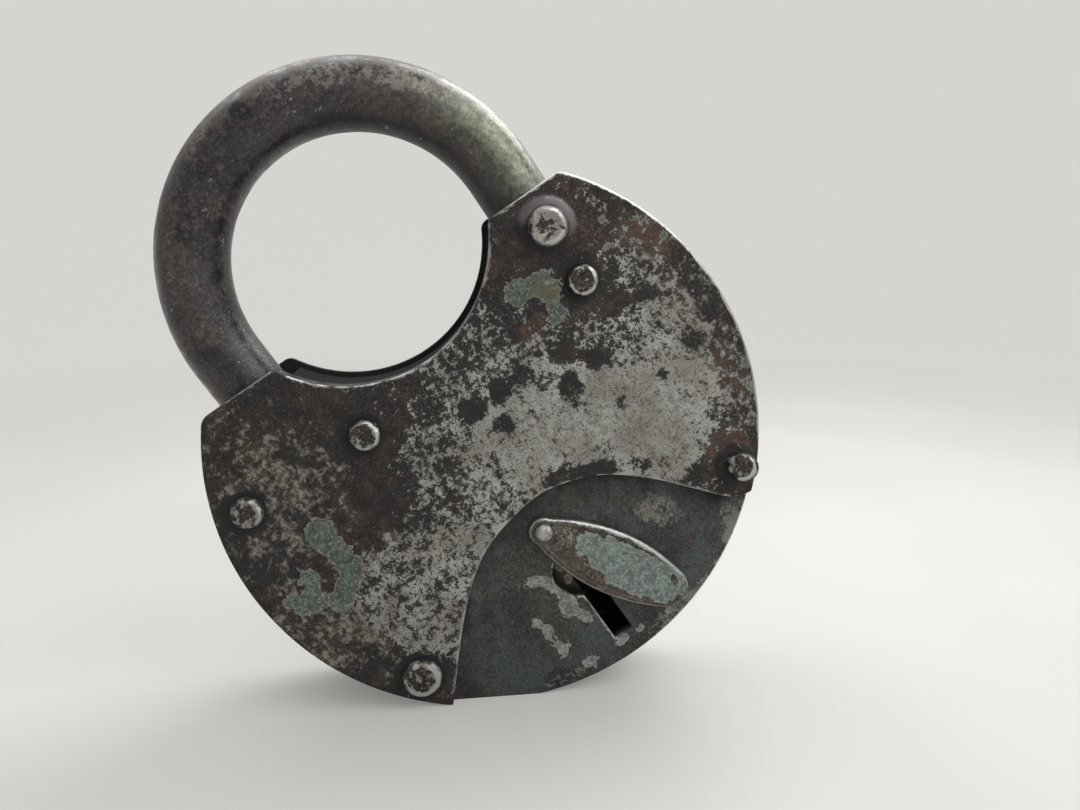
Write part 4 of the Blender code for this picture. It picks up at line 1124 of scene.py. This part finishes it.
def finer(profile, spacing=0.35):
    """The same profile with points close together, where it's short enough to matter."""
    fine = []
    for a, b in zip(profile, profile[1:]):
        count = max(1, min(6, round(math.dist(a, b) / spacing)))
        fine += [(a[0] + (b[0] - a[0]) * i / count, a[1] + (b[1] - a[1]) * i / count) for i in range(count)]
    return fine + [profile[-1]]


def hammer(bm, place, seat, lean, marks, seed):
    """Lean a head over as it rises and beat marks into it."""
    for vert in bm.verts:
        past = max(0.0, seat - vert.co.y)
        vert.co.x += lean[0] * past
        vert.co.z += lean[1] * past
        if vert.co.y < 1.0:
            bite = abs(marks * rough(vert.co.x, vert.co.y * 2, vert.co.z, 1.9, seed))
            away = Vector((vert.co.x - place[0], 0, vert.co.z - place[1]))
            vert.co -= away * 0.25 * bite
            vert.co.y += bite


def rub_to_slope(bm, place, seat):
    """Cut a head off at a slope and close the cut."""
    cut = bmesh.ops.bisect_plane(bm, geom=bm.verts[:] + bm.edges[:] + bm.faces[:], clear_outer=True,
                                 plane_co=(place[0] - 0.9, seat - 1.95, place[1] + 0.4),
                                 plane_no=Vector((-0.28, -1.0, 0.30)).normalized())
    rim = [e for e in cut["geom_cut"] if isinstance(e, bmesh.types.BMEdge)]
    bmesh.ops.holes_fill(bm, edges=rim, sides=0)


print("a rivet's profile has", len(rivet_profile(-0.3, 1.6, 2.9, 2.1)), "points")

# %% [markdown]
# ## Wear, painted highlight and painted shade on the rivets
#
# Hands and cloth rub a head brightest on a ring near its edge and leave its middle dark, and at the back the
# same happens to the ring of the flush end. Both rings are made brightest at the lower right as a painted
# highlight on the lit side, and the underside of the head is darkened as painted shade. The lowest rivet on
# the right was bent over and rubbed to a slope. Six rivets differ only in numbers, so one loop makes them
# all.

# %% Build the rivets
def rivet_wear(place, seat, head, wear, shine, seed):
    """The values on a rivet: bright worn ring, brightest at the lower right as painted highlight, bare metal,
    and painted shade with a little dirt under the head.
    """
    def ring(x, y, z, width):
        gap = math.hypot(x - place[0], z - place[1]) - (2.6 if y > seat else head * 0.8)
        return max(0.0, 1.0 - abs(gap) / (head * width))

    # painted highlight: the cosine makes the ring brightest at the lower right, the lit side
    def rub(x, y, z):
        turn = math.atan2(z - place[1], x - place[0])
        return 0.75 + 0.35 * math.cos(turn + 0.9) + 0.6 * rough(x, y, z, 1.7, seed)

    return {"edge": lambda x, y, z: shine * ring(x, y, z, 0.26) * rub(x, y, z),
            "worn": lambda x, y, z: (wear + 0.5 * rough(x, y, z, 1.3, seed + 3)
                                     + 0.6 * ring(x, y, z, 0.34) * rub(x, y, z)),
            # painted shade with a little dirt under the head
            "soot": lambda x, y, z: 0.6 * step(y, seat - 0.5, seat - 0.1) if y < 2 else 0.0}


# name, seat, rise, head radius, top radius, lean, depth of the marks, bare metal, shine
RIVETS = [
    ("shackle_pivot_rivet", -0.9, 1.6, 3.5, 2.7, (0, 0), 0.08, 0.52, 1.2),
    ("rivet_right_upper", -0.3, 1.6, 2.9, 2.1, (0, 0), 0.09, 0.0, 1.3),
    ("rivet_left_inner", -0.3, 1.6, 2.9, 2.1, (0, 0), 0.14, 0.1, 1.0),
    ("rivet_left_outer", -0.3, 1.2, 2.9, 2.1, (0, 0), 0.16, 0.24, 0.75),
    ("rivet_lower_left", -0.3, 1.2, 3.7, 2.1, (0, 0), 0.10, 0.28, 1.5),
    ("rivet_lower_right", -0.8, 2.3, 2.75, 1.5, (0.22, -0.39), 0.07, 0.1, 1.25),
]
for name, seat, rise, head, top, lean, marks, wear, shine in RIVETS:
    place, seed = RIVET_PLACES[name], len(name)
    bm = turned(place, finer(rivet_profile(seat, rise, head, top)))
    hammer(bm, place, seat, lean, marks, seed)
    if lean != (0, 0):
        rub_to_slope(bm, place, seat)
    paint_points(bm, **rivet_wear(place, seat, head, wear, shine, seed))
    finish_piece(name + "_set", bm, "case", [name], RIVET)

# %% [markdown]
# ## Shackle
#
# The bow is a round bar, forged and bent. A circle is swept round the bow's centre, then each end goes on
# down into the case: the left one tapers to a toe with a notch for the bolt, the right one ends round with
# the eye for its rivet. The forging left it uneven, so the surface gets a shallow noise, always inwards.

# %% Sweep the bow
FORGED_R = 6.36


def bar_surface(x, y, z):
    """Depth of the forging marks."""
    return 0.03 + 0.035 * abs(rough(x, y, z, 9.0, 4.0)) + 0.03 * abs(rough(x, y, z, 2.4, 7.7))


def grow(bm, loop, moves):
    """Extrude a ring of edges again and again, each time down by a step and to a share of its size."""
    for fall, share in moves:
        pushed = bmesh.ops.extrude_edge_only(bm, edges=loop)["geom"]
        verts = [g for g in pushed if isinstance(g, bmesh.types.BMVert)]
        loop = [g for g in pushed if isinstance(g, bmesh.types.BMEdge) and all(v in verts for v in g.verts)]
        centre = sum((v.co for v in verts), Vector()) / len(verts)
        bmesh.ops.scale(bm, verts=verts, vec=(share, share, 1), space=Matrix.Translation(-centre))
        bmesh.ops.translate(bm, verts=verts, vec=(0, 0, -fall))
    bmesh.ops.contextual_create(bm, geom=loop)


bm = bmesh.new()
ring = bmesh.ops.create_circle(bm, segments=56, radius=FORGED_R, cap_ends=False)["verts"]
bmesh.ops.translate(bm, verts=ring, vec=(-BOW_R, MID_Y, BOW_Z))
loop = bm.edges[:]
swept = bmesh.ops.spin(bm, geom=ring + loop, cent=(0, MID_Y, BOW_Z), axis=(0, 1, 0), angle=math.pi,
                       steps=110, use_duplicate=False)["geom_last"]
far_ring = [g for g in swept if isinstance(g, bmesh.types.BMEdge)]
toe = [(1.0, 1.0)] * 28 + [(0.5, 1.0)] + [(0.7, 0.975)] * 3 + [(0.9, 0.93)] * 4 + [(0.4, 0.85)]
grow(bm, loop, toe)
eye = [(1.0, 1.0)] * 12 + [(0.9, 0.99), (0.9, 0.97), (0.9, 0.95), (0.9, 0.92), (0.8, 0.88), (0.7, 0.82),
                           (0.5, 0.74), (0.3, 0.6)]
grow(bm, far_ring, eye)
print("shackle ends at z =", round(min(v.co.z for v in bm.verts if v.co.x < 0), 2), "and",
      round(min(v.co.z for v in bm.verts if v.co.x > 0), 2), "mm")

# %% [markdown]
# ## Eye and notch
#
# First the forging marks go into the closed bar, each point moving in along its normal. Then two cutters
# finish the shape: a round pin bores the eye for the pivot rivet, and a block files the notch in the toe,
# where the bolt's nose slides in.

# %% Bore the eye and file the notch
EYE_R, EYE_HALF = 2.9, 12
NOTCH_SIZE, NOTCH_X, NOTCH_Z = (12.0, 30.0, 7.2), -22.8, 12.6
bmesh.ops.recalc_face_normals(bm, faces=bm.faces)
bm.normal_update()
for vert in bm.verts:
    vert.co -= vert.normal * bar_surface(*vert.co)
hole = turned(PIVOT, [(0, MID_Y - EYE_HALF), (EYE_R, MID_Y - EYE_HALF), (EYE_R, MID_Y + EYE_HALF),
                      (0, MID_Y + EYE_HALF)], steps=32)
bm = cut_away(bm, hole, flat=False)
notch = bmesh.new()
bmesh.ops.create_cube(notch, size=1.0)
bmesh.ops.scale(notch, verts=notch.verts, vec=NOTCH_SIZE)
bmesh.ops.translate(notch, verts=notch.verts, vec=(NOTCH_X, MID_Y, NOTCH_Z))
bm = cut_away(bm, notch, flat=False)
print("shackle:", len(bm.faces), "faces, with its eye and its notch")

# %% [markdown]
# ## Wear, painted highlights and painted shade on the shackle
#
# Rust sits on the front of the bow in long blotches, and hands rubbed it bare along the outer curve; along
# the top those bare patches are made stronger as a painted highlight. Those patches are placed by their angle
# round the bow and by how far out from the bar's middle line they lie, so they bend with it. The leg on the
# right is brassy, with a painted highlight on its lit outer side, and the inner side above it is darkened as
# painted shade.

# %% Finish the shackle
# Patches by their angle round the bow, then across the bar from its inner side to its outer side
BOW_RUST = [
    (84, 3.5, 7, 2.6, 0.6), (99, 3.8, 5, 2, 0.6), (112, 4.5, 9, 2.4, 0.5), (132, 3, 8, 2.4, 0.5),
    (142, 2, 6, 3, 0.7), (152, 1, 8, 3, 0.6), (166, 0, 10, 2.6, 0.5), (70, 1, 9, 2.4, 0.4),
    (52, 0, 9, 2.6, 0.35), (28, -2, 9, 2.6, 0.5), (12, -3, 9, 2.4, 0.5),
]
# the bare patches near 80 and 108 degrees, along the top, are made stronger as a painted highlight
BOW_WORN = [
    (63, 2.4, 13, 3.2, 0.66), (44, 2.4, 12, 3, 0.72), (30, 2.4, 9, 2.6, 0.5), (80, 2.2, 11, 2.6, 0.55),
    (136, 2.4, 10, 2.4, 0.42), (152, 2, 9, 2.5, 0.4), (108, 4, 12, 1.8, 0.6), (166, 0, 7, 3, 0.4),
    (182, 1, 8, 3, 0.35),
]


def bow_angle(x, z):
    """Degrees round the bow's centre, from its right."""
    return math.degrees(math.atan2(z - BOW_Z, x))


def outwards(x, z):
    """How far out of the bow's middle line a place on its right half lies."""
    return (math.hypot(x, z - BOW_Z) if z > BOW_Z else x) - BOW_R


def bow_patch(x, y, z, base, marks):
    """Patches on the front of the bar."""
    front = step(MID_Y - y, -4.0, 1.0)
    ovals = [(angle, out, wide, high, 0, strength * front) for angle, out, wide, high, strength in marks]
    return patches(bow_angle(x, z), math.hypot(x, z - BOW_Z) - BOW_R, base, ovals)


def bow_brass(x, y, z):
    """Brassy low on the right, and more so outwards, where it is a painted highlight on the lit side."""
    return 0.7 * step(bow_angle(x, z), 48.0, 14.0) * step(outwards(x, z), -4.5, 1.5) if x >= 0 else 0.0


def bow_soot(x, y, z):
    """Painted shade: dark along the inner side of the right half."""
    return 0.42 * step(-outwards(x, z), 2.0, 5.0) * step(bow_angle(x, z), 85.0, 60.0) if x >= 0 else 0.0


paint_points(bm, rust=lambda x, y, z: bow_patch(x, y, z, 0.3, BOW_RUST) + 0.2 * rough(x, y, z, 14.0, 5.5),
             worn=lambda x, y, z: bow_patch(x, y, z, -0.15, BOW_WORN), brass=bow_brass, soot=bow_soot)
finish_piece("shackle_forged", bm, "shackle", ["shackle"], PATINA)

# %% [markdown]
# ## Keyhole cover
#
# A thick leaf swings on its rivet over the keyhole. It is drawn hanging straight down from its pin: round
# heel, two bowed sides, round tip. The edge was rolled over by years of thumbs, and just inside it runs a
# groove. So the outline is pushed out, its edge rounded, the face inset three times, and the rings between
# the insets sunk and raised again.

# %% Shape the cover
COVER_BACK, COVER_FRONT = 1.6, 0.2
HEEL_R, SIDE_X, SIDE_Z, SIDE_R, TIP_Z = 2.72, -30.98, -15.5, 37.0, -27.0
TIP = [(-3.62, -29.2), (-2.1, -30.65), (0.0, -31.05), (2.1, -30.65), (3.62, -29.2)]


def cover_blank():
    """The leaf's outline, from the right of the heel round the left side and the tip."""
    bm = bmesh.new()
    sweep = math.asin(-SIDE_Z / SIDE_R) + math.asin((SIDE_Z - TIP_Z) / SIDE_R)
    first = bm.verts.new((HEEL_R, COVER_FRONT, 0.0))
    top = arc(bm, first, (0, 0), math.pi, facet=9.0)
    left = pen = arc(bm, top, (-SIDE_X, SIDE_Z), sweep, facet=3.0)
    for x, z in TIP:
        pen = line(bm, pen, x, z)
    lower = bm.verts.new((-left.co.x, COVER_FRONT, left.co.z))
    bm.edges.new((pen, lower))
    right = arc(bm, lower, (SIDE_X, SIDE_Z), sweep, facet=3.0)
    bmesh.ops.remove_doubles(bm, verts=[right, first], dist=0.3)
    bmesh.ops.bevel(bm, geom=[v for v in bm.verts if v.co.z < TIP_Z + 0.5], affect="VERTICES", offset=0.5,
                    segments=2, profile=0.5, material=-1)
    return bm


bm = cover_blank()
push_out(bm, COVER_BACK - COVER_FRONT)
round_edges(bm, COVER_FRONT, 0.75, segments=5)
bm.normal_update()
face = max(bm.faces, key=lambda f: f.calc_area() if f.normal.y < -0.9 else 0.0)
for width, rise in ((0.35, 0.0), (0.22, -0.16), (0.25, 0.10)):
    bmesh.ops.inset_region(bm, faces=[face], thickness=width, depth=rise, use_even_offset=True)
slice_grid(bm, lambda f: f.normal.y < -0.99 and f.calc_area() > 60, 0.5)
print("cover:", len(bm.faces), "faces, hanging straight down")

# %% [markdown]
# ## Wear on the cover
#
# Thumbs pushed the leaf aside from its right, so its right edge and its tip are rubbed to a broad bright
# band, and its left edge only to a thin line. Paint is left in the middle, with a scratch and a chip in it.
# The values are laid on while the leaf hangs straight. Last it is turned aside, as it rests now.

# %% Finish the cover
COVER_OPEN = math.radians(28.7)
LEAF_HALF, TIP_HALF, TIP_LONG = 6.0, 4.2, 4.1
# x, z, half width, half height, turn in degrees, strength
COVER_PAINT = [
    (0, -18.5, 5, 12.2, 0, 1.1), (0.2, -26.8, 4.6, 4.9, 0, 0.8), (1.5, -9.5, 2.4, 2.6, 0, 0.6),
    (-4.4, -11, 2.1, 4.4, 10, -1.3), (-5.3, -19, 1.3, 7, 0, -0.9), (-4.4, -24.6, 1.2, 1.7, 0, -0.8),
    (2, -27.3, 1.5, 0.8, 60, -2.4), (1.8, -10.8, 0.5, 0.5, 0, -1.6), (1, -7.6, 2.6, 2.2, 0, 0.45),
    (5.6, -16, 1, 12, 0, -0.6), (-2.6, -26.6, 1.2, 0.8, 0, 0.5), (3.2, -12, 2.6, 6, 10, 0.5),
    (2.8, -22, 2.4, 6, -8, 0.4),
]


def leaf_half(z):
    """Half the width of the leaf at a height."""
    if z > TIP_Z:
        return LEAF_HALF - (z - SIDE_Z) ** 2 / (2 * SIDE_R)
    return TIP_HALF * math.sqrt(max(0.0, 1 - ((z - TIP_Z) / TIP_LONG) ** 2))


def leaf_edge(x, y, z):
    """Bright wear along the right side and the tip, a thin line along the left side."""
    inside = leaf_half(z) - abs(x) if z < 0 else HEEL_R - math.hypot(x, z)
    wide = max(0.0, 1.4 - inside / 1.1) * (0.8 + 0.5 * rough(x, y, z, 1.5, 4.4))
    thin = max(0.0, 1.0 - inside / 0.75) * 1.25
    right = step(x, -1.0, 1.5) if z > -26 else step(x, -4.0, -1.0)
    return right * max(thin, wide * step(-z, -1.0, 7.0)) + (1 - right) * thin


def leaf_soot(x, y, z):
    """Darker in the groove down the right side."""
    groove = math.exp(-((leaf_half(z) - abs(x) - 1.55) / 0.3) ** 2)
    return 0.65 * groove * step(-z, 2.0, 8.0) * step(x, -1.0, 1.0)


COVER_STEEL = old_steel("cover steel", (88, 82, 75), (60, 53, 48), (62, 50, 43), (92, 76, 64),
                        (150, 146, 137), gloss=0.42, metallic=0.5, size=0.8, shine=(168, 169, 166))
paint_points(bm, edge=leaf_edge, soot=leaf_soot,
             paint=lambda x, y, z: patches(x, z, -0.1, COVER_PAINT) if y < COVER_FRONT + 0.3 else -0.2,
             rust=lambda x, y, z: 0.35 + 0.35 * step(-z, 5.0, 10.0) + 0.3 * rough(x, y, z, 5.0, 1.2),
             worn=lambda x, y, z: 0.5 * oval(x, z, 1.0, -4.5, 3.0, 3.5))
turn = Matrix.Translation((COVER_PIN[0], 0, COVER_PIN[1])) @ Matrix.Rotation(-COVER_OPEN, 4, "Y")
bmesh.ops.transform(bm, matrix=turn, verts=bm.verts)
finish_piece("keyhole_cover_worn", bm, "keyhole_cover", ["keyhole_cover"], COVER_STEEL)

# %% [markdown]
# ## The cover's rivet
#
# The leaf turns on a small rivet with a domed head, hammered over behind the keyhole plate. It is spun like
# the others, with more points on the dome, because the dome is what is seen.

# %% Build the cover's rivet
dome = [(0.0, -1.28), (0.7, -1.2), (1.25, -0.98), (1.62, -0.62), (1.8, -0.2), (1.82, 0.1), (1.7, 0.24)]
tail = [(1.2, 0.24), (1.2, 4.05), (1.8, 4.05), (1.8, 4.6), (0.0, 4.65)]
bm = turned(COVER_PIN, finer(dome, 0.3) + tail, steps=40)
dent(bm, lambda x, y, z: 0.0 if y > 0 else 0.12 * abs(rough(x, y, z, 1.0, 3.3)))
paint_points(bm, edge=lambda x, y, z: 0.78 + 0.5 * rough(x, y, z, 0.9, 7.3), worn=lambda x, y, z: 1.0)
finish_piece("cover_rivet_domed", bm, "case", ["cover_rivet"], COVER_STEEL)

# %% [markdown]
# ## Key drum
#
# Behind the keyhole sits a slotted drum on a post. Only its rusty front face shows. It is turned as on a
# lathe, with its wide flange in front, and then the slot and the bore for its post are cut out.

# %% Build the drum
DRUM_PROFILE = [(0.0, 4.1), (1.5, 4.12), (3.0, 4.1), (4.6, 4.14), (5.9, 4.15), (6.15, 4.4), (6.15, 5.35),
                (4.75, 5.35), (4.75, 17.6), (0.0, 17.6)]
DRUM_SLOT_FRONT, DRUM_SLOT_BACK, DRUM_SLOT_LONG = 3.0, 13.95, 14.35
BORE_R, BORE_START, BORE_END = 2.1, 13.0, 18.5
slot = bmesh.new()
bmesh.ops.create_cube(slot, size=1.0)
bmesh.ops.scale(slot, verts=slot.verts, vec=(2 * SLOT_HALF, DRUM_SLOT_BACK - DRUM_SLOT_FRONT, DRUM_SLOT_LONG))
bmesh.ops.translate(slot, verts=slot.verts, vec=(
    KEY[0], (DRUM_SLOT_BACK + DRUM_SLOT_FRONT) / 2, KEY[1] + SLOT_HALF - DRUM_SLOT_LONG / 2))
bore = turned(KEY, [(0, BORE_START), (BORE_R, BORE_START), (BORE_R, BORE_END), (0, BORE_END)], steps=32)
bm = cut_away(cut_away(turned(KEY, DRUM_PROFILE, steps=72), slot, flat=False), bore, flat=False)
print("drum:", len(bm.faces), "faces, slotted and bored")

# %% [markdown]
# ## Finish of the drum
#
# The drum is the rustiest piece, as rain ran in through the keyhole. Deeper in it is painted black as shade,
# so the slot reads as a dark hole, and a painted shadow lies in the corner round its face, widest on the
# upper left. Two flakes of the old paint stuck to its face on the left.

# %% Finish the drum
FACE_Y = 4.3
DRUM_PAINT = [(-3.2, -27.0, 1.3, 1.6, 20, 1.1), (-3.3, -30.2, 1.6, 1.2, 0, 1.1)]


def drum_soot(x, y, z):
    """Painted shade: black inside, and a painted shadow in the corner round the face, widest on the upper
    left.
    """
    rim = step(math.hypot(x - KEY[0] - 0.5, z - KEY[1] + 0.3), 3.9, 4.7)
    return max(step(y, FACE_Y, 6.0), 0.9 * rim)


RUSTY = old_steel("rusty drum", (54, 46, 40), (38, 34, 31), (62, 47, 38), (90, 70, 54), (140, 132, 116),
                  gloss=0.55, metallic=0.3, size=0.7, relief=0.8,
                  tones=((92, 88, 72), (122, 118, 100), (140, 138, 120)))
paint_points(bm, rust=lambda x, y, z: 0.6, soot=drum_soot,
             paint=lambda x, y, z: -0.1 if y > FACE_Y else patches(x, z, -0.1, DRUM_PAINT))
finish_piece("key_drum_rusty", bm, "key_drum", ["key_drum"], RUSTY)

# %% [markdown]
# ## Lock works
#
# Bolt, spring, stud, wards and sleeves are hidden in the case and are seen only through its openings. Their
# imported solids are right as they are, so they stay and get the two finishes of old oiled steel.

# %% Finish the lock works
WORKS = old_steel("lock works", (72, 64, 56), (50, 44, 40), (70, 52, 42), (92, 68, 50), (130, 124, 112),
                  gloss=0.5, metallic=0.6)
SPRING = old_steel("leaf spring", (84, 84, 86), (58, 58, 60), (74, 60, 50), (90, 72, 58), (150, 148, 142),
                   gloss=0.35, metallic=0.8)
for node in ("bolt", "bolt_stud", "bolt_collar", "spring_block", "drum_post", "ward_ring_front",
             "ward_ring_back", "spacer_right_upper", "spacer_left_outer", "spacer_lower_left", "bolt_spring"):
    obj = bpy.data.objects[node]
    if not obj.material_slots:
        obj.data.materials.append(None)
    for place in obj.material_slots:
        place.material = SPRING if node == "bolt_spring" else WORKS
print("the lock works have their two finishes")

# %% [markdown]
# ## Pale sweep
#
# The lock stands on a plain pale floor that curves up into a backdrop behind it, as in a small studio. The
# sweep is one line, floor, curve and wall, pushed sideways. It is staging, not part of the lock.

# %% Shape the sweep
NEAR, FOOT, BEND, TOP, HALF_WIDE = -2.4, 0.55, 0.45, 2.6, 2.5
bm = bmesh.new()
near = bm.verts.new((-HALF_WIDE, NEAR, 0.0))
foot = bm.verts.new((-HALF_WIDE, FOOT, 0.0))
bm.edges.new((near, foot))
swept = bmesh.ops.spin(bm, geom=[foot], cent=(-HALF_WIDE, FOOT, BEND), axis=(1, 0, 0), angle=math.pi / 2,
                       steps=24, use_duplicate=False)["geom_last"][0]
top = bm.verts.new((swept.co.x, swept.co.y, TOP))
bm.edges.new((swept, top))
pushed = bmesh.ops.extrude_edge_only(bm, edges=bm.edges[:])["geom"]
bmesh.ops.translate(bm, verts=[g for g in pushed if isinstance(g, bmesh.types.BMVert)],
                    vec=(2 * HALF_WIDE, 0, 0))
bmesh.ops.recalc_face_normals(bm, faces=bm.faces)
mesh = bpy.data.meshes.new("sweep")
bm.to_mesh(mesh)
bm.free()
mesh.shade_smooth()
sweep = bpy.data.objects.new("sweep", mesh)
bpy.context.scene.collection.objects.link(sweep)
print("sweep:", len(mesh.polygons), "faces")

# %% [markdown]
# ## Finish of the sweep
#
# Near the lock the sweep is matt paper that takes its shadow. Further off it should be even and pale, which
# lamps alone don't give, so a faint glow takes over with distance. Only the camera and mirror-like rays see
# that glow, so the lock mirrors it but isn't lit by it.

# %% Finish the sweep
BACKDROP = colour(216, 214, 210)
f = Finish("pale sweep")
tint = f.mix(f.between(f.grain(160.0, 2.0), 0.35, 0.65), (187, 185, 180), (194, 192, 187))
f.shade(Base_Color=tint, Roughness=f.between(f.grain(60.0), 0.3, 0.7, 0.8, 0.9))
rays = f.put("LightPath").outputs
shown = f.most(f.most(rays["Is Camera Ray"], rays["Is Glossy Ray"]), rays["Is Transmission Ray"])
away = f.put("VectorMath", {0: f.place}, operation="LENGTH").outputs["Value"]
back = f.between(away, 90.0, 620.0, 0.25, 0.97)
share = f.put("Math", {0: shown, 1: back}, operation="MULTIPLY").outputs[0]
glow = f.put("Emission", {"Color": BACKDROP}).outputs[0]
both = f.put("MixShader", {0: share, 1: f.shader.outputs[0], 2: glow}).outputs[0]
f.tree.links.new(both, f.tree.nodes["Material Output"].inputs["Surface"])
mesh.materials.append(f.material)
print("the sweep's finish has", len(f.tree.nodes), "nodes")

# %% [markdown]
# ## Camera
#
# The camera stands where the picture was taken from: close, a little above the keyhole, looking slightly
# down with a wide lens, so the lock shows its true perspective.

# %% Camera
LENS, EYE, TILT, TURN = 27.03, (-0.007276, -0.149635, 0.083397), 79.59, -8.01
scene = bpy.context.scene
scene.view_settings.view_transform = "Standard"
lens = bpy.data.cameras.new("camera")
lens.lens, lens.sensor_width, lens.clip_start = LENS, 36.0, 0.01
camera = bpy.data.objects.new("camera", lens)
camera.location = EYE
camera.rotation_euler = (math.radians(TILT), 0, math.radians(TURN))
scene.collection.objects.link(camera)
scene.camera = camera
print("camera stands", round(camera.location.length * 1000), "mm from the lock's foot")

# %% [markdown]
# ## Lamps
#
# The light is broad and soft, as from large windows. Four square lamps give it: two high behind the lock,
# a wide weak one in front, and one from the right side that draws the bright lines along the edges. Each is
# turned to look at the lock.

# %% Lamps
def soft_lamp(name, place, size, power, aim=(0.0, 0.0, 0.055)):
    """A square soft lamp turned towards the lock."""
    data = bpy.data.lights.new(name, "AREA")
    data.energy, data.size = power, size
    lamp = bpy.data.objects.new(name, data)
    lamp.location = place
    lamp.rotation_euler = (Vector(place) - Vector(aim)).to_track_quat("Z", "Y").to_euler()
    scene.collection.objects.link(lamp)


# name, place and size in metres, power in watts
for lamp in (("window light", (0.22, 0.20, 0.45), 0.35, 2.3), ("sky light", (-0.16, 0.16, 0.5), 0.4, 1.3),
             ("front light", (0.25, -0.6, 0.42), 0.6, 1.3), ("side light", (0.33, -0.22, 0.44), 0.36, 1.35)):
    soft_lamp(*lamp)
print("four soft lamps stand round the lock")

# %% [markdown]
# ## Surround
#
# An even pale world fills the shadows and gives the steel something to mirror. Seen directly, it has the
# colour of the sweep's far end, so that no border shows where the sweep stops.

# %% Surround
world = bpy.data.worlds.new("pale surround")
scene.world = world
world.use_nodes = True
sky = world.node_tree
surround = sky.nodes["Background"]
surround.inputs["Color"].default_value = (0.86, 0.88, 0.9, 1)
surround.inputs["Strength"].default_value = 0.55
seen = sky.nodes.new("ShaderNodeBackground")
seen.inputs["Color"].default_value = BACKDROP
path = sky.nodes.new("ShaderNodeLightPath")
either, choice = sky.nodes.new("ShaderNodeMath"), sky.nodes.new("ShaderNodeMixShader")
either.operation = "MAXIMUM"
sky.links.new(path.outputs["Is Camera Ray"], either.inputs[0])
sky.links.new(path.outputs["Is Transmission Ray"], either.inputs[1])
sky.links.new(either.outputs[0], choice.inputs[0])
sky.links.new(surround.outputs[0], choice.inputs[1])
sky.links.new(seen.outputs[0], choice.inputs[2])
sky.links.new(choice.outputs[0], sky.nodes["World Output"].inputs["Surface"])
print("the surround has", len(sky.nodes), "nodes")
